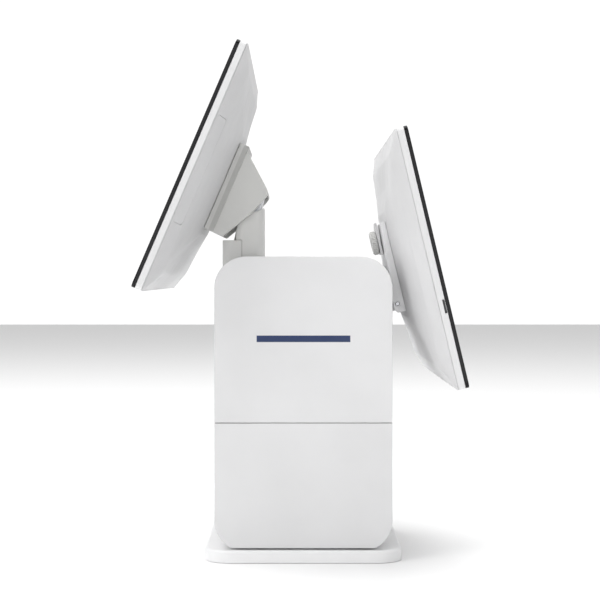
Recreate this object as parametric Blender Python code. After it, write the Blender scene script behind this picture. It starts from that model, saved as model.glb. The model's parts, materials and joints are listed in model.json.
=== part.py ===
# Dual-screen point of sale terminal, built as separate pieces.
#
# The body's middle is at X = 0 in body coordinates, Y runs across the machine and Z is up.
# The operator stands at -X and the customer at +X. Everything hangs from one empty that
# centres the whole machine on the world origin. Lengths are in metres, angles in degrees.
#
# Each display is drawn in its own coordinates: depth behind the front of the glass,
# across, and down from the top edge of the glass.

import math

import bmesh
import bpy
from mathutils import Matrix, Vector

# ---- driving dimensions ----
GAP = 0.0003            # between pieces that rest on each other
SEAM = 0.0006           # visible joint line between two covers
ROUND_STEPS = 6         # segments in a quarter of a rounded corner

BODY_DEPTH = 0.1686     # operator side to customer side
BODY_WIDTH = 0.2000     # across, outside the side panels
BODY_TOP = 0.2892
BODY_ROUND = 0.030
BODY_LIFT = 0.0015      # gap between the base's top and the body covers
BODY_SINK = 0.0033      # how far the round of the lower corners would run on below that
SEAM_HEIGHT = 0.1318
COVER_WALL = 0.0025
PANEL_WALL = 0.0030
BELT_DROP = 0.0342      # front and rear covers meet the top cover this far below its top

BASE_LIP_DEPTH = 0.0097     # how far the base stands out past the body
BASE_LIP_WIDTH = 0.0060
BASE_TOP = 0.0119
BASE_BOTTOM = 0.0008
BASE_ROUND = 0.025
FOOT_RADIUS = 0.009
FOOT_HEIGHT = 0.0036
FOOT_INSET = 0.022

SCREEN_WIDTH = 0.380
SCREEN_HEIGHT = 0.240
SCREEN_ROUND = 0.005
GLASS_THICK = 0.0034
FRAME_DEPTH = 0.0063
FRAME_RIM = 0.0140
LCD_MARGIN = 0.0010
LCD_THICK = 0.0050
BACK_WALL = 0.0024
BACK_STEPS = (          # outlines of the back cover: rise, inset at the sides, inset at top and foot
    (0.0000, 0.000, 0.000), (0.0085, 0.032, 0.020), (0.0125, 0.060, 0.045), (0.0195, 0.130, 0.068))
BACK_ROUNDS = (0.005, 0.010, 0.014, 0.012)

MAIN_INSET = 0.0249     # top edge of the main glass: in from the body's face, up from its top
MAIN_RISE = 0.1928
MAIN_LEAN = 23.2
MAIN_AXIS_RISE = 0.0322     # tilt axis: behind the crest of the back cover, down from the glass's top
MAIN_AXIS_DOWN = 0.1180
CUSTOMER_OUT = 0.0074
CUSTOMER_RISE = 0.1158
CUSTOMER_LEAN = 13.4
CUSTOMER_AXIS_RISE = 0.0068
CUSTOMER_AXIS_DOWN = 0.1573

POWER_KEY_SIZE = (0.0030, 0.0120, 0.0054)
POWER_KEY_ACROSS = 0.1340
SIDE_KEY_SIZE = (0.0014, 0.0049, 0.0120)
SIDE_KEY_DOWN = 0.1645
KEY_PROUD = 0.0004
KEY_ROOM = 0.0020       # behind a frame key, for its travel

HINGE_COVER_HALF = 0.052
HINGE_COVER_WALL = 0.0025
HINGE_COVER_TOP = 0.0754
HINGE_COVER_FOOT = 0.1658
HINGE_SLAB = 0.0100
HINGE_COVER_SIDE = (    # from the slab's top round to its foot: behind the back's crest, down
    (0.0103, 0.0808), (0.0453, 0.1090), (0.0437, 0.1161), (0.0373, 0.1348), (0.0204, 0.1665))
HINGE_SLOT_LIP = 0.0085     # floor that is left in front of the slot for the neck
SHAFT_RADIUS = 0.0050
SHAFT_HALF = 0.0300
KNUCKLE_RADIUS = 0.0100
KNUCKLE_HALF = 0.0200
EAR_THICK = 0.0030
EAR_GAP = 0.0005
PLATE_THICK = 0.0020
TILT_PLATE_HALF = 0.038
TILT_PLATE_TOP = 0.086
TILT_PLATE_FOOT = 0.156
RUNNING_GAP = 0.0003

NECK_BEHIND = 0.0103    # the column's customer side, behind the tilt axis
NECK_DEPTH = 0.0299
NECK_WIDTH = 0.070
NECK_ROUND = 0.008
NECK_WALL = 0.0028
NECK_COVER_WALL = 0.0018
NECK_STEP = 0.0112      # how far the lower front cover stands out of the column
NECK_STEP_RISE = 0.0168     # top of that cover above the body
NECK_SLANT = 0.25       # the column's front leans back by this share of its height above the step
POST_DEPTH = 0.014
POST_WIDTH = 0.032
POST_WALL = 0.002

SIDE_COVER_TOP = 0.0685
SIDE_COVER_LENGTH = 0.1034
SIDE_COVER_WIDTH = 0.0255
SIDE_COVER_THICK = 0.0008
SIDE_COVER_SHIFT = 0.0010   # towards the crest from the middle of the slope

ARM_TOP = 0.0760
ARM_FOOT = 0.1660
ARM_HALF = 0.045
PIN_RADIUS = 0.0019
LUG_RADIUS = 0.0042
LUG_SPACING = 0.024     # from the middle to each lug
LUG_THICK = 0.004
LUG_PLATE_TOP = 0.0085      # above and below the pin
LUG_PLATE_FOOT = 0.0150
KNOB_RADIUS = 0.0120
KNOB_THICK = 0.0062
KNOB_DOWN = 0.0940
FLANGE_TOP = 0.0742
FLANGE_FOOT = 0.1070
FLANGE_HALF = 0.016
FLANGE_RISE = 0.0027    # its face behind the pin's axis
STUD_RADIUS = 0.0030

CHASSIS_SHEET = 0.0015
CHASSIS_SIDE_ROOM = 0.008   # from the body's side to the chassis wall
CHASSIS_DROP = 0.0326
CHASSIS_FRONT_ROOM = 0.0363
CHASSIS_REAR_ROOM = 0.0243
SHELF_RISE = 0.0027     # printer shelf above the seam

ROLL_RADIUS = 0.028
ROLL_WIDTH = 0.0795
ROLL_CORE = 0.0065
ROLL_ROOM = 0.0113      # from the door to the roll
TROUGH_GAP = 0.0015
TROUGH_WALL = 0.0015
DOOR_THICK = 0.0030
DOOR_RISE = 0.0090      # the door's foot above the seam
DOOR_GAP = 0.0005
PAPER_SLOT = 0.0055
DOOR_AXIS_IN = 0.0015   # hinge axis of the door, in from the body's face and up from its foot
DOOR_STUB = 0.0010
STUB_LENGTH = 0.0025
PLATEN_IN = 0.0123      # platen axis in from the body's face
PLATEN_RISE = 0.0060    # and above the roll
PLATEN_RADIUS = 0.0060
PLATEN_SHAFT = 0.0025
CHEEK_THICK = 0.0015
GEAR_MODULE = 0.0008
GEAR_WIDTH = 0.0030
GEAR_BACKLASH = 0.0002
PLATEN_TEETH = 20
IDLER_TEETH = 32
PINION_TEETH = 12
IDLER_DIRECTION = -10.0
PINION_DIRECTION = -40.0
MOTOR_RADIUS = 0.017
MOTOR_LENGTH = 0.020
MOTOR_BORE = 0.0018
IDLER_PIN = 0.0020

RELEASE_KEY_SIZE = (0.0170, 0.0085)
RELEASE_KEY_ACROSS = -0.0625
FEED_KEY_RADIUS = 0.0045
FEED_KEY_ACROSS = 0.0620
KEY_RISE = 0.0157       # middle of both keys above the door's top
KEY_STAND = 0.0009      # release key and feed key stand out of the cover
FEED_STAND = 0.0006

VENT_ROWS = 7
VENT_FIRST = 0.0182     # first slot above the seam
VENT_STEP = 0.009
VENT_HEIGHT = 0.003
VENT_HALF = 0.045

# sockets: name, middle across, width, height, depth, hollows as (low, high) across and up
PORTS = (
    ("lan_port", -0.034, 0.0160, 0.0135, 0.020, (((-0.0060, 0.0022), (0.0060, 0.0110)),)),
    ("drawer_port", -0.060, 0.0140, 0.0125, 0.018, (((-0.0050, 0.0022), (0.0050, 0.0100)),)),
    ("usb_port_pair", -0.008, 0.0145, 0.0156, 0.018,
     (((-0.0062, 0.0012), (0.0062, 0.0062)), ((-0.0062, 0.0092), (0.0062, 0.0142)))),
)
DC_INLET = (0.024, 0.0130, 0.0120, 0.018)     # middle across, width, height, depth
DC_BORE = 0.0035
DC_PIN = 0.0010
PORT_FACE = 0.0012      # how far the sockets sit inside the rear cover's face
PORT_GAP = 0.0004
PORT_FLOOR = 0.0520
PORT_SHARE = 0.7        # share of a socket's depth that is hollow
BOARD_THICK = 0.0016
IO_BOARD_DEPTH = 0.0651

BOARD_STAND = 0.0040    # motherboard off the chassis wall
BOARD_LOW = (-0.040, 0.072)
BOARD_HIGH = (0.052, 0.128)
BOARD_SCREW_IN = 0.006
SPACER_RADIUS = 0.0030
SINK_LOW = (-0.0270, 0.080)
SINK_HIGH = (0.0260, 0.120)
SINK_PLATE = 0.003
SINK_HEIGHT = 0.016
FIN_PITCH = 0.0085
FIN_THICK = 0.0020

# ---- derived sizes ----
HALF_DEPTH = BODY_DEPTH / 2
HALF_WIDTH = BODY_WIDTH / 2
COVER_HALF = HALF_WIDTH - PANEL_WALL - GAP
BODY_FOOT = BASE_TOP + BODY_LIFT
CORNER_X = HALF_DEPTH - BODY_ROUND
CORNER_TOP = BODY_TOP - BODY_ROUND
CORNER_FOOT = BODY_FOOT - BODY_SINK + BODY_ROUND
BELT_TOP = BODY_TOP - BELT_DROP
BASE_DEPTH = BODY_DEPTH + 2 * BASE_LIP_DEPTH
BASE_WIDTH = BODY_WIDTH + 2 * BASE_LIP_WIDTH

FRAME_FRONT = GLASS_THICK + GAP
BACK_FRONT = FRAME_FRONT + FRAME_DEPTH + GAP
BACK_CREST = BACK_FRONT + BACK_STEPS[-1][0]
MAIN_TOP = (-HALF_DEPTH + MAIN_INSET, BODY_TOP + MAIN_RISE)     # in body X and Z
MAIN_AXIS = (BACK_CREST + MAIN_AXIS_RISE, MAIN_AXIS_DOWN)       # behind the glass, down from its top
CUSTOMER_TOP = (HALF_DEPTH + CUSTOMER_OUT, BODY_TOP + CUSTOMER_RISE)
CUSTOMER_AXIS = (BACK_CREST + CUSTOMER_AXIS_RISE, CUSTOMER_AXIS_DOWN)
FLANGE_DEPTH = CUSTOMER_AXIS[0] + FLANGE_RISE

CHASSIS_HALF = HALF_WIDTH - CHASSIS_SIDE_ROOM
CHASSIS_TOP = BODY_TOP - CHASSIS_DROP
CHASSIS_FRONT = -HALF_DEPTH + CHASSIS_FRONT_ROOM
CHASSIS_REAR = HALF_DEPTH - CHASSIS_REAR_ROOM
SHELF_TOP = SEAM_HEIGHT + SHELF_RISE
NECK_FOOT = CHASSIS_TOP + GAP
NECK_STEP_TOP = BODY_TOP + NECK_STEP_RISE

PLATEN_HALF = ROLL_WIDTH / 2 + 0.0005
ARM_IN = PLATEN_HALF + 0.0006       # the door's two arms that carry the platen
ARM_OUT = ARM_IN + 0.0021
GEAR_LOW = ARM_OUT + GAP
CHEEK_IN = GEAR_LOW + GEAR_WIDTH + 0.0009       # inner face of the printer housing's cheeks
DOOR_HALF = CHEEK_IN
DOOR_FOOT = SEAM_HEIGHT + DOOR_RISE
ROLL_CENTRE = (-HALF_DEPTH + DOOR_THICK + ROLL_ROOM + ROLL_RADIUS, DOOR_FOOT + 0.0092 + ROLL_RADIUS)
PLATEN_CENTRE = (-HALF_DEPTH + PLATEN_IN, ROLL_CENTRE[1] + ROLL_RADIUS + PLATEN_RISE)
DOOR_TOP = PLATEN_CENTRE[1] + 0.0095
KEY_HEIGHT = DOOR_TOP + KEY_RISE


# ---- materials ----
def paint(name, color, roughness, metallic=0.0):
    material = bpy.data.materials.new(name)
    material.use_nodes = True
    shader = material.node_tree.nodes["Principled BSDF"]
    shader.inputs["Base Color"].default_value = (*color, 1.0)
    shader.inputs["Roughness"].default_value = roughness
    shader.inputs["Metallic"].default_value = metallic
    material.diffuse_color = (*color, 1.0)
    return material


# ---- outlines: lists of points in a plane ----
def arc(centre, radius, start, end, steps=ROUND_STEPS):
    points = []
    for step in range(steps + 1):
        angle = math.radians(start + (end - start) * step / steps)
        points.append((centre[0] + radius * math.cos(angle), centre[1] + radius * math.sin(angle)))
    return points


def circle(centre, radius, steps=24):
    return arc(centre, radius, 0, 360, steps)[:-1]


def rounded_rectangle(low, high, radius, steps=ROUND_STEPS):
    points = []
    corners = ((high[0], high[1], 0), (low[0], high[1], 90), (low[0], low[1], 180), (high[0], low[1], 270))
    for x, y, start in corners:
        centre_x = x - radius if x == high[0] else x + radius
        centre_y = y - radius if y == high[1] else y + radius
        points += arc((centre_x, centre_y), radius, start, start + 90, steps)
    return points


def inset_outline(points, distance):
    """Each edge of a counter-clockwise outline moves in by the distance."""
    moved = []
    count = len(points)
    for index in range(count):
        before = Vector(points[index - 1])
        here = Vector(points[index])
        after = Vector(points[(index + 1) % count])
        first = (here - before).normalized()
        second = (after - here).normalized()
        normal_one = Vector((-first.y, first.x))
        normal_two = Vector((-second.y, second.x))
        middle = (normal_one + normal_two).normalized()
        moved.append(tuple(here + middle * (distance / middle.dot(normal_one))))
    return moved


def spread(side, inner, outer):
    """Two heights on one side of the middle plane, in rising order."""
    return min(side * inner, side * outer), max(side * inner, side * outer)


# ---- solids: bmesh builders ----
def lift(point, height, plane):
    """A point of a flat outline becomes a point in space: plane names its two axes."""
    if plane == "xy":
        return (point[0], point[1], height)
    if plane == "xz":
        return (point[0], height, point[1])
    return (height, point[0], point[1])


def finished(bm):
    bmesh.ops.recalc_face_normals(bm, faces=bm.faces)
    return bm


def prism(points, plane, low, high):
    bm = bmesh.new()
    loops = [[bm.verts.new(lift(p, height, plane)) for p in points] for height in (low, high)]
    bm.faces.new(loops[0])
    bm.faces.new(loops[1])
    count = len(points)
    for i in range(count):
        j = (i + 1) % count
        bm.faces.new((loops[0][i], loops[0][j], loops[1][j], loops[1][i]))
    return finished(bm)


def ring(outer, inner, plane, low, high):
    """A prism with a hole right through: both outlines have the same number of points."""
    bm = bmesh.new()
    rows = []
    for outline, height in ((outer, low), (outer, high), (inner, high), (inner, low)):
        rows.append([bm.verts.new(lift(p, height, plane)) for p in outline])
    count = len(outer)
    for a in range(4):
        b = (a + 1) % 4
        for i in range(count):
            j = (i + 1) % count
            bm.faces.new((rows[a][i], rows[a][j], rows[b][j], rows[b][i]))
    return finished(bm)


def block(low, high):
    outline = [(low[0], low[1]), (high[0], low[1]), (high[0], high[1]), (low[0], high[1])]
    return prism(outline, "xy", low[2], high[2])


def rod(centre, radius, plane, low, high, steps=24):
    return prism(circle(centre, radius, steps), plane, low, high)


def tube(centre, outer, inner, plane, low, high, steps=24):
    return ring(circle(centre, outer, steps), circle(centre, inner, steps), plane, low, high)


def dish(outer_rows, inner_rows):
    """A hollow shell: rows of points from the rim inwards, outside and inside, both closed at the end."""
    bm = bmesh.new()
    outside = [[bm.verts.new(p) for p in row] for row in outer_rows]
    inside = [[bm.verts.new(p) for p in row] for row in inner_rows]
    rows = outside[::-1] + inside
    count = len(rows[0])
    for upper, lower in zip(rows[:-1], rows[1:]):
        for i in range(count):
            j = (i + 1) % count
            bm.faces.new((upper[i], upper[j], lower[j], lower[i]))
    bm.faces.new(outside[-1])
    bm.faces.new(inside[-1])
    return finished(bm)


# ---- the tree of empties and the pieces on it ----
frames = {}


def add_frame(name, parent, matrix):
    """An empty at a place given in body coordinates."""
    empty = bpy.data.objects.new(name, None)
    bpy.context.collection.objects.link(empty)
    if parent is None:
        empty.matrix_local = matrix
        frames[name] = Matrix.Identity(4)
        return empty
    empty.parent = parent
    empty.matrix_local = frames[parent.name].inverted() @ matrix
    frames[name] = matrix
    return empty


def add_piece(name, bm, material, frame, place=None):
    """The solid is drawn in body coordinates, or in those that the place matrix gives."""
    bm.transform(frames[frame.name].inverted() @ (place or Matrix.Identity(4)))
    mesh = bpy.data.meshes.new(name)
    bm.to_mesh(mesh)
    bm.free()
    mesh.shade_smooth()
    mesh.set_sharp_from_angle(angle=math.radians(32))
    obj = bpy.data.objects.new(name, mesh)
    bpy.context.collection.objects.link(obj)
    obj.parent = frame
    if material:
        mesh.materials.append(material)
    return obj


def combine(piece, bm, operation, frame, place=None):
    """Cut a solid out of a piece, or join it on: the other solid stays as a hidden helper."""
    helper = add_piece(f"{piece.name}_{operation.lower()}_{len(piece.modifiers)}", bm, None, frame, place)
    helper.hide_render = True
    helper.display_type = "WIRE"
    modifier = piece.modifiers.new(helper.name, "BOOLEAN")
    modifier.operation = operation
    modifier.solver = "EXACT"
    modifier.object = helper


def cut(piece, bm, frame, place=None):
    combine(piece, bm, "DIFFERENCE", frame, place)


def join(piece, bm, frame, place=None):
    combine(piece, bm, "UNION", frame, place)


def clear_scene():
    for obj in list(bpy.data.objects):
        bpy.data.objects.remove(obj, do_unlink=True)


# ---- displays ----
def main_place():
    """Display coordinates (depth, across, -down) to body coordinates for the main display."""
    turn = Matrix.Rotation(math.radians(MAIN_LEAN), 4, "Y")
    return Matrix.Translation((MAIN_TOP[0], 0, MAIN_TOP[1])) @ turn


def customer_place():
    turn = Matrix.Rotation(math.radians(-CUSTOMER_LEAN), 4, "Y") @ Matrix.Rotation(math.pi, 4, "Z")
    return Matrix.Translation((CUSTOMER_TOP[0], 0, CUSTOMER_TOP[1])) @ turn


def display_point(place, depth, down):
    return place @ Vector((depth, 0, -down))


def screen_outline(side, top, radius):
    """Rounded rectangle across and down, inset from the glass's edges."""
    low = (-SCREEN_WIDTH / 2 + side, -SCREEN_HEIGHT + top)
    high = (SCREEN_WIDTH / 2 - side, -top)
    return rounded_rectangle(low, high, radius, 4)


def build_screen(prefix, frame, place, looks):
    """Glass, panel, frame and back cover: the stack that both displays share."""
    glass = prism(screen_outline(0, 0, SCREEN_ROUND), "yz", 0, GLASS_THICK)
    add_piece(f"{prefix}_touch_glass", glass, looks["glass"], frame, place)

    opening = FRAME_RIM - LCD_MARGIN
    panel = prism(screen_outline(FRAME_RIM, FRAME_RIM, 0.002), "yz", FRAME_FRONT, FRAME_FRONT + LCD_THICK)
    add_piece(f"{prefix}_lcd_panel", panel, looks["lcd"], frame, place)

    outer = screen_outline(0, 0, SCREEN_ROUND)
    inner = screen_outline(opening, opening, 0.003)
    rim = ring(outer, inner, "yz", FRAME_FRONT, FRAME_FRONT + FRAME_DEPTH)
    screen_frame = add_piece(f"{prefix}_frame", rim, looks["white"], frame, place)

    outside = []
    inside = []
    for (rise, side, top), radius in zip(BACK_STEPS, BACK_ROUNDS):
        outline = screen_outline(side, top, radius)
        outside.append([(BACK_FRONT + rise, *p) for p in outline])
        shrink = BACK_WALL if rise == 0 else BACK_WALL / 2
        sunk = 0 if rise == 0 else BACK_WALL
        outline = screen_outline(side + shrink, top + shrink, radius)
        inside.append([(BACK_FRONT + rise - sunk, *p) for p in outline])
    back = add_piece(f"{prefix}_back_cover", dish(outside, inside), looks["white"], frame, place)
    return screen_frame, back


def build_side_cover(back, frame, place, looks):
    """A removable module cover let into the sloping edge of the main display's back."""
    rise = BACK_STEPS[1][0]
    run = BACK_STEPS[1][1]
    slope = math.atan2(rise, run)
    down = SIDE_COVER_TOP + SIDE_COVER_LENGTH / 2
    middle = (BACK_FRONT + rise / 2, -SCREEN_WIDTH / 2 + run / 2, -down)
    turn = Matrix.Translation(middle) @ Matrix.Rotation(-slope, 4, "Z")

    def plate(margin, low, high):
        half_width = SIDE_COVER_WIDTH / 2 + margin
        half_length = SIDE_COVER_LENGTH / 2 + margin
        low_corner = (SIDE_COVER_SHIFT - half_width, -half_length)
        high_corner = (SIDE_COVER_SHIFT + half_width, half_length)
        return prism(rounded_rectangle(low_corner, high_corner, 0.004, 4), "yz", low, high)

    turned = place @ turn
    # the plate's own +X points out of the slope once turned
    cut(back, plate(SEAM / 2, -SIDE_COVER_THICK - GAP, 0.004), frame, turned)
    add_piece("main_side_cover", plate(0, -SIDE_COVER_THICK, 0), looks["white"], frame, turned)


def hinge_cover_outline():
    front = BACK_CREST + GAP
    side = [(BACK_CREST + rise, -down) for rise, down in reversed(HINGE_COVER_SIDE)]
    slab_edge = (front + HINGE_SLAB, -HINGE_COVER_TOP)
    return [(front, -HINGE_COVER_TOP), (front, -HINGE_COVER_FOOT)] + side + [slab_edge]


def build_hinge_cover(frame, place, looks):
    """Wedge-shaped cover behind the main display, open to the display and slotted for the neck."""
    outline = hinge_cover_outline()
    front = outline[0][0]
    hollow = inset_outline(outline, HINGE_COVER_WALL)
    hollow[0] = (front - 0.002, hollow[0][1])
    hollow[1] = (front - 0.002, hollow[1][1])
    half = HINGE_COVER_HALF
    cover = add_piece("main_hinge_cover", prism(outline, "xz", -half, half), looks["grey"], frame, place)
    inner = half - HINGE_COVER_WALL
    cut(cover, prism(hollow, "xz", -inner, inner), frame, place)
    slot = NECK_WIDTH / 2 + 0.002
    crest_rise, crest_down = HINGE_COVER_SIDE[1]
    low = (front + HINGE_SLOT_LIP, -slot, -HINGE_COVER_FOOT - 0.01)
    high = (BACK_CREST + crest_rise + 0.005, slot, -crest_down - HINGE_COVER_WALL)
    cut(cover, block(low, high), frame, place)


def build_tilt_bracket(frame, place, looks):
    """Steel plate on the display's back with two ears that turn on the hinge shaft."""
    front = BACK_CREST + GAP
    axis = (MAIN_AXIS[0], -MAIN_AXIS[1])
    half = TILT_PLATE_HALF
    plate = block((front, -half, -TILT_PLATE_FOOT), (front + PLATE_THICK, half, -TILT_PLATE_TOP))
    bracket = add_piece("tilt_bracket", plate, looks["steel"], frame, place)
    root_half = KNUCKLE_RADIUS + 0.008
    ear = [(front + 0.001, axis[1] + root_half), (front + 0.001, axis[1] - root_half)]
    ear += arc(axis, KNUCKLE_RADIUS, -90, 90, 10)
    inner = KNUCKLE_HALF + EAR_GAP
    for side in (-1, 1):
        join(bracket, prism(ear, "xz", *spread(side, inner, inner + EAR_THICK)), frame, place)
    cut(bracket, rod(axis, SHAFT_RADIUS + RUNNING_GAP, "xz", -SHAFT_HALF, SHAFT_HALF), frame, place)


def build_main_display(frame, place, looks):
    screen_frame, back = build_screen("main", frame, place, looks)
    build_side_cover(back, frame, place, looks)
    build_hinge_cover(frame, place, looks)
    build_tilt_bracket(frame, place, looks)
    # power key in the lower edge of the frame
    thick, width, height = POWER_KEY_SIZE
    edge = -SCREEN_HEIGHT - KEY_PROUD
    low = (FRAME_FRONT + 0.0016, POWER_KEY_ACROSS - width / 2, edge)
    high = (low[0] + thick, POWER_KEY_ACROSS + width / 2, edge + height)
    slot_low = (low[0] - GAP, low[1] - GAP, edge - 0.002)
    slot_high = (high[0] + GAP, high[1] + GAP, high[2] + KEY_ROOM)
    cut(screen_frame, block(slot_low, slot_high), frame, place)
    return low, high


def build_power_key(frame, place, looks, corners):
    add_piece("main_power_button", block(*corners), looks["dark"], frame, place)


def arm_outline():
    """Side profile of the customer display's arm: (depth, -down)."""
    front = BACK_CREST + GAP
    depth, down = CUSTOMER_AXIS
    return [
        (front, -ARM_FOOT), (depth + 0.0014, -ARM_FOOT), (depth + 0.0040, -down - 0.0050),
        (depth + 0.0040, -down + 0.0053), (depth + 0.0021, -down + 0.0123),
        (depth - 0.0004, -FLANGE_FOOT), (depth - 0.0022, -ARM_TOP - 0.0015), (front + 0.0030, -ARM_TOP),
        (front, -ARM_TOP),
    ]


def build_customer_display(frame, place, looks):
    screen_frame, back = build_screen("customer", frame, place, looks)

    profile = prism(arm_outline(), "xz", -ARM_HALF, ARM_HALF)
    arm = add_piece("customer_arm", profile, looks["white"], frame, place)
    depth, down = CUSTOMER_AXIS
    pocket = LUG_SPACING + LUG_THICK / 2 + 0.004
    low = (BACK_CREST + 0.0010, -pocket, -ARM_FOOT - 0.01)
    cut(arm, block(low, (depth + 0.02, pocket, -down + 0.0115)), frame, place)
    bore = rod((depth, -down), PIN_RADIUS + GAP, "xz", -ARM_HALF - 0.002, ARM_HALF + 0.002, 16)
    cut(arm, bore, frame, place)

    # flange that the thumb knob draws against: it thins towards its top, above the knob
    seat = depth + GAP
    knob_top = -KNOB_DOWN + KNOB_RADIUS
    profile = [(seat, -FLANGE_FOOT), (FLANGE_DEPTH, -FLANGE_FOOT), (FLANGE_DEPTH, knob_top + 0.001),
               (seat + 0.0010, -FLANGE_TOP), (seat, -FLANGE_TOP)]
    flange = add_piece(
        "knob_flange", prism(profile, "xz", -FLANGE_HALF, FLANGE_HALF), looks["white"], frame, place)
    hole = rod((0, -KNOB_DOWN), STUD_RADIUS + GAP, "yz", depth - 0.002, FLANGE_DEPTH + 0.002, 16)
    cut(flange, hole, frame, place)

    pin = rod((depth, -down), PIN_RADIUS, "xz", -ARM_HALF + GAP, ARM_HALF - GAP, 16)
    add_piece("customer_hinge_pin", pin, looks["steel"], frame, place)

    # lock key in one side edge of the frame
    thick, width, height = SIDE_KEY_SIZE
    edge = SCREEN_WIDTH / 2 - 0.0001
    low = (FRAME_FRONT + 2 * GAP, edge - width, -SIDE_KEY_DOWN - height / 2)
    high = (low[0] + thick, edge, low[2] + height)
    slot_low = (low[0] - GAP, low[1] - KEY_ROOM, low[2] - GAP)
    slot_high = (high[0] + GAP, edge + 0.002, high[2] + GAP)
    cut(screen_frame, block(slot_low, slot_high), frame, place)
    return low, high


def build_side_key(frame, place, looks, corners):
    add_piece("customer_side_key", block(*corners), looks["dark"], frame, place)


def build_thumb_knob(frame, place, looks):
    low = FLANGE_DEPTH + GAP
    knob = rod((0, -KNOB_DOWN), KNOB_RADIUS, "yz", low, low + KNOB_THICK, 32)
    piece = add_piece("thumb_knob", knob, looks["grey"], frame, place)
    stud = rod((0, -KNOB_DOWN), STUD_RADIUS, "yz", CUSTOMER_AXIS[0] + 4 * GAP, low + 0.001, 16)
    join(piece, stud, frame, place)


# ---- base ----
def build_base(root, looks):
    half_x = BASE_DEPTH / 2
    half_y = BASE_WIDTH / 2
    outer = rounded_rectangle((-half_x, -half_y), (half_x, half_y), BASE_ROUND)
    base = add_piece("base_cover", prism(outer, "xy", BASE_BOTTOM, BASE_TOP), looks["white"], root)
    for name, side_x, side_y in (("front_left", -1, 1), ("front_right", -1, -1),
                                 ("rear_left", 1, 1), ("rear_right", 1, -1)):
        centre = (side_x * (half_x - FOOT_INSET), side_y * (half_y - FOOT_INSET))
        cut(base, rod(centre, FOOT_RADIUS + GAP, "xy", -0.001, FOOT_HEIGHT + GAP, 20), root)
        add_piece(f"foot_{name}", rod(centre, FOOT_RADIUS, "xy", 0, FOOT_HEIGHT, 20), looks["rubber"], root)


# ---- body covers ----
def top_arcs(radius):
    """The two upper corners, from the operator side over to the customer side."""
    return (arc((-CORNER_X, CORNER_TOP), radius, 180, 90) + arc((CORNER_X, CORNER_TOP), radius, 90, 0))


def foot_arc(radius, side):
    """One lower corner from the wall down to where it ends above the base."""
    reach = math.degrees(math.asin((CORNER_FOOT - BODY_FOOT) / radius))
    if side < 0:
        return arc((-CORNER_X, CORNER_FOOT), radius, 180, 180 + reach)
    return arc((CORNER_X, CORNER_FOOT), radius, 0, -reach)


def build_side_panels(root, looks):
    upper_foot = SEAM_HEIGHT + SEAM / 2
    lower_top = SEAM_HEIGHT - SEAM / 2
    upper = [(-HALF_DEPTH, upper_foot)] + top_arcs(BODY_ROUND) + [(HALF_DEPTH, upper_foot)]
    lower = [(HALF_DEPTH, lower_top)] + foot_arc(BODY_ROUND, 1) + foot_arc(BODY_ROUND, -1)[::-1]
    lower += [(-HALF_DEPTH, lower_top)]
    for name, side in (("left", 1), ("right", -1)):
        low, high = spread(side, HALF_WIDTH - PANEL_WALL, HALF_WIDTH)
        add_piece(f"side_panel_{name}_upper", prism(upper, "xz", low, high), looks["white"], root)
        add_piece(f"side_panel_{name}_lower", prism(lower, "xz", low, high), looks["white"], root)


def build_top_cover(root, looks, neck_front, neck_rear):
    foot = BELT_TOP + SEAM / 2
    inner_wall = HALF_DEPTH - COVER_WALL
    outline = [(-HALF_DEPTH, foot)] + top_arcs(BODY_ROUND) + [(HALF_DEPTH, foot), (inner_wall, foot)]
    outline += top_arcs(BODY_ROUND - COVER_WALL)[::-1] + [(-inner_wall, foot)]
    top = add_piece("top_cover", prism(outline, "xz", -COVER_HALF, COVER_HALF), looks["white"], root)
    half = NECK_WIDTH / 2 + SEAM
    low = (neck_front - NECK_STEP - SEAM, -half, CHASSIS_TOP)
    cut(top, block(low, (neck_rear + SEAM, half, BODY_TOP + 0.01)), root)


def door_axis():
    return (-HALF_DEPTH + DOOR_AXIS_IN, DOOR_FOOT + DOOR_AXIS_IN)


def build_front_covers(root, looks):
    foot = SEAM_HEIGHT + SEAM / 2
    high = (-HALF_DEPTH + COVER_WALL, COVER_HALF, BELT_TOP - SEAM / 2)
    wall = block((-HALF_DEPTH, -COVER_HALF, foot), high)
    upper = add_piece("front_upper_cover", wall, looks["white"], root)
    opening = DOOR_HALF + DOOR_GAP
    low = (-HALF_DEPTH - 0.01, -opening, DOOR_FOOT - 0.0010)
    high = (-HALF_DEPTH + 0.01, opening, DOOR_TOP + PAPER_SLOT)
    cut(upper, block(low, high), root)
    axis = door_axis()
    for side in (-1, 1):
        inner, outer = spread(side, opening, opening + STUB_LENGTH + 0.0010)
        boss_low = (-HALF_DEPTH + GAP, inner, axis[1] - 0.0026)
        boss_high = (-HALF_DEPTH + COVER_WALL + DOOR_AXIS_IN, outer, axis[1] + 0.0026)
        join(upper, block(boss_low, boss_high), root)
    bore_half = opening + STUB_LENGTH + GAP
    cut(upper, rod(axis, DOOR_STUB + GAP, "xz", -bore_half, bore_half, 12), root)
    cut(upper, block(*release_key_corners(GAP)), root)
    feed_radius = FEED_KEY_RADIUS + GAP
    cut(upper, rod(feed_key_centre(), feed_radius, "yz", -HALF_DEPTH - 0.01, -HALF_DEPTH + 0.01, 20), root)

    top = SEAM_HEIGHT - SEAM / 2
    inner_wall = HALF_DEPTH - COVER_WALL
    outline = [(-HALF_DEPTH, top)] + foot_arc(BODY_ROUND, -1)
    outline += foot_arc(BODY_ROUND - COVER_WALL, -1)[::-1] + [(-inner_wall, top)]
    add_piece("front_lower_cover", prism(outline, "xz", -COVER_HALF, COVER_HALF), looks["white"], root)


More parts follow.
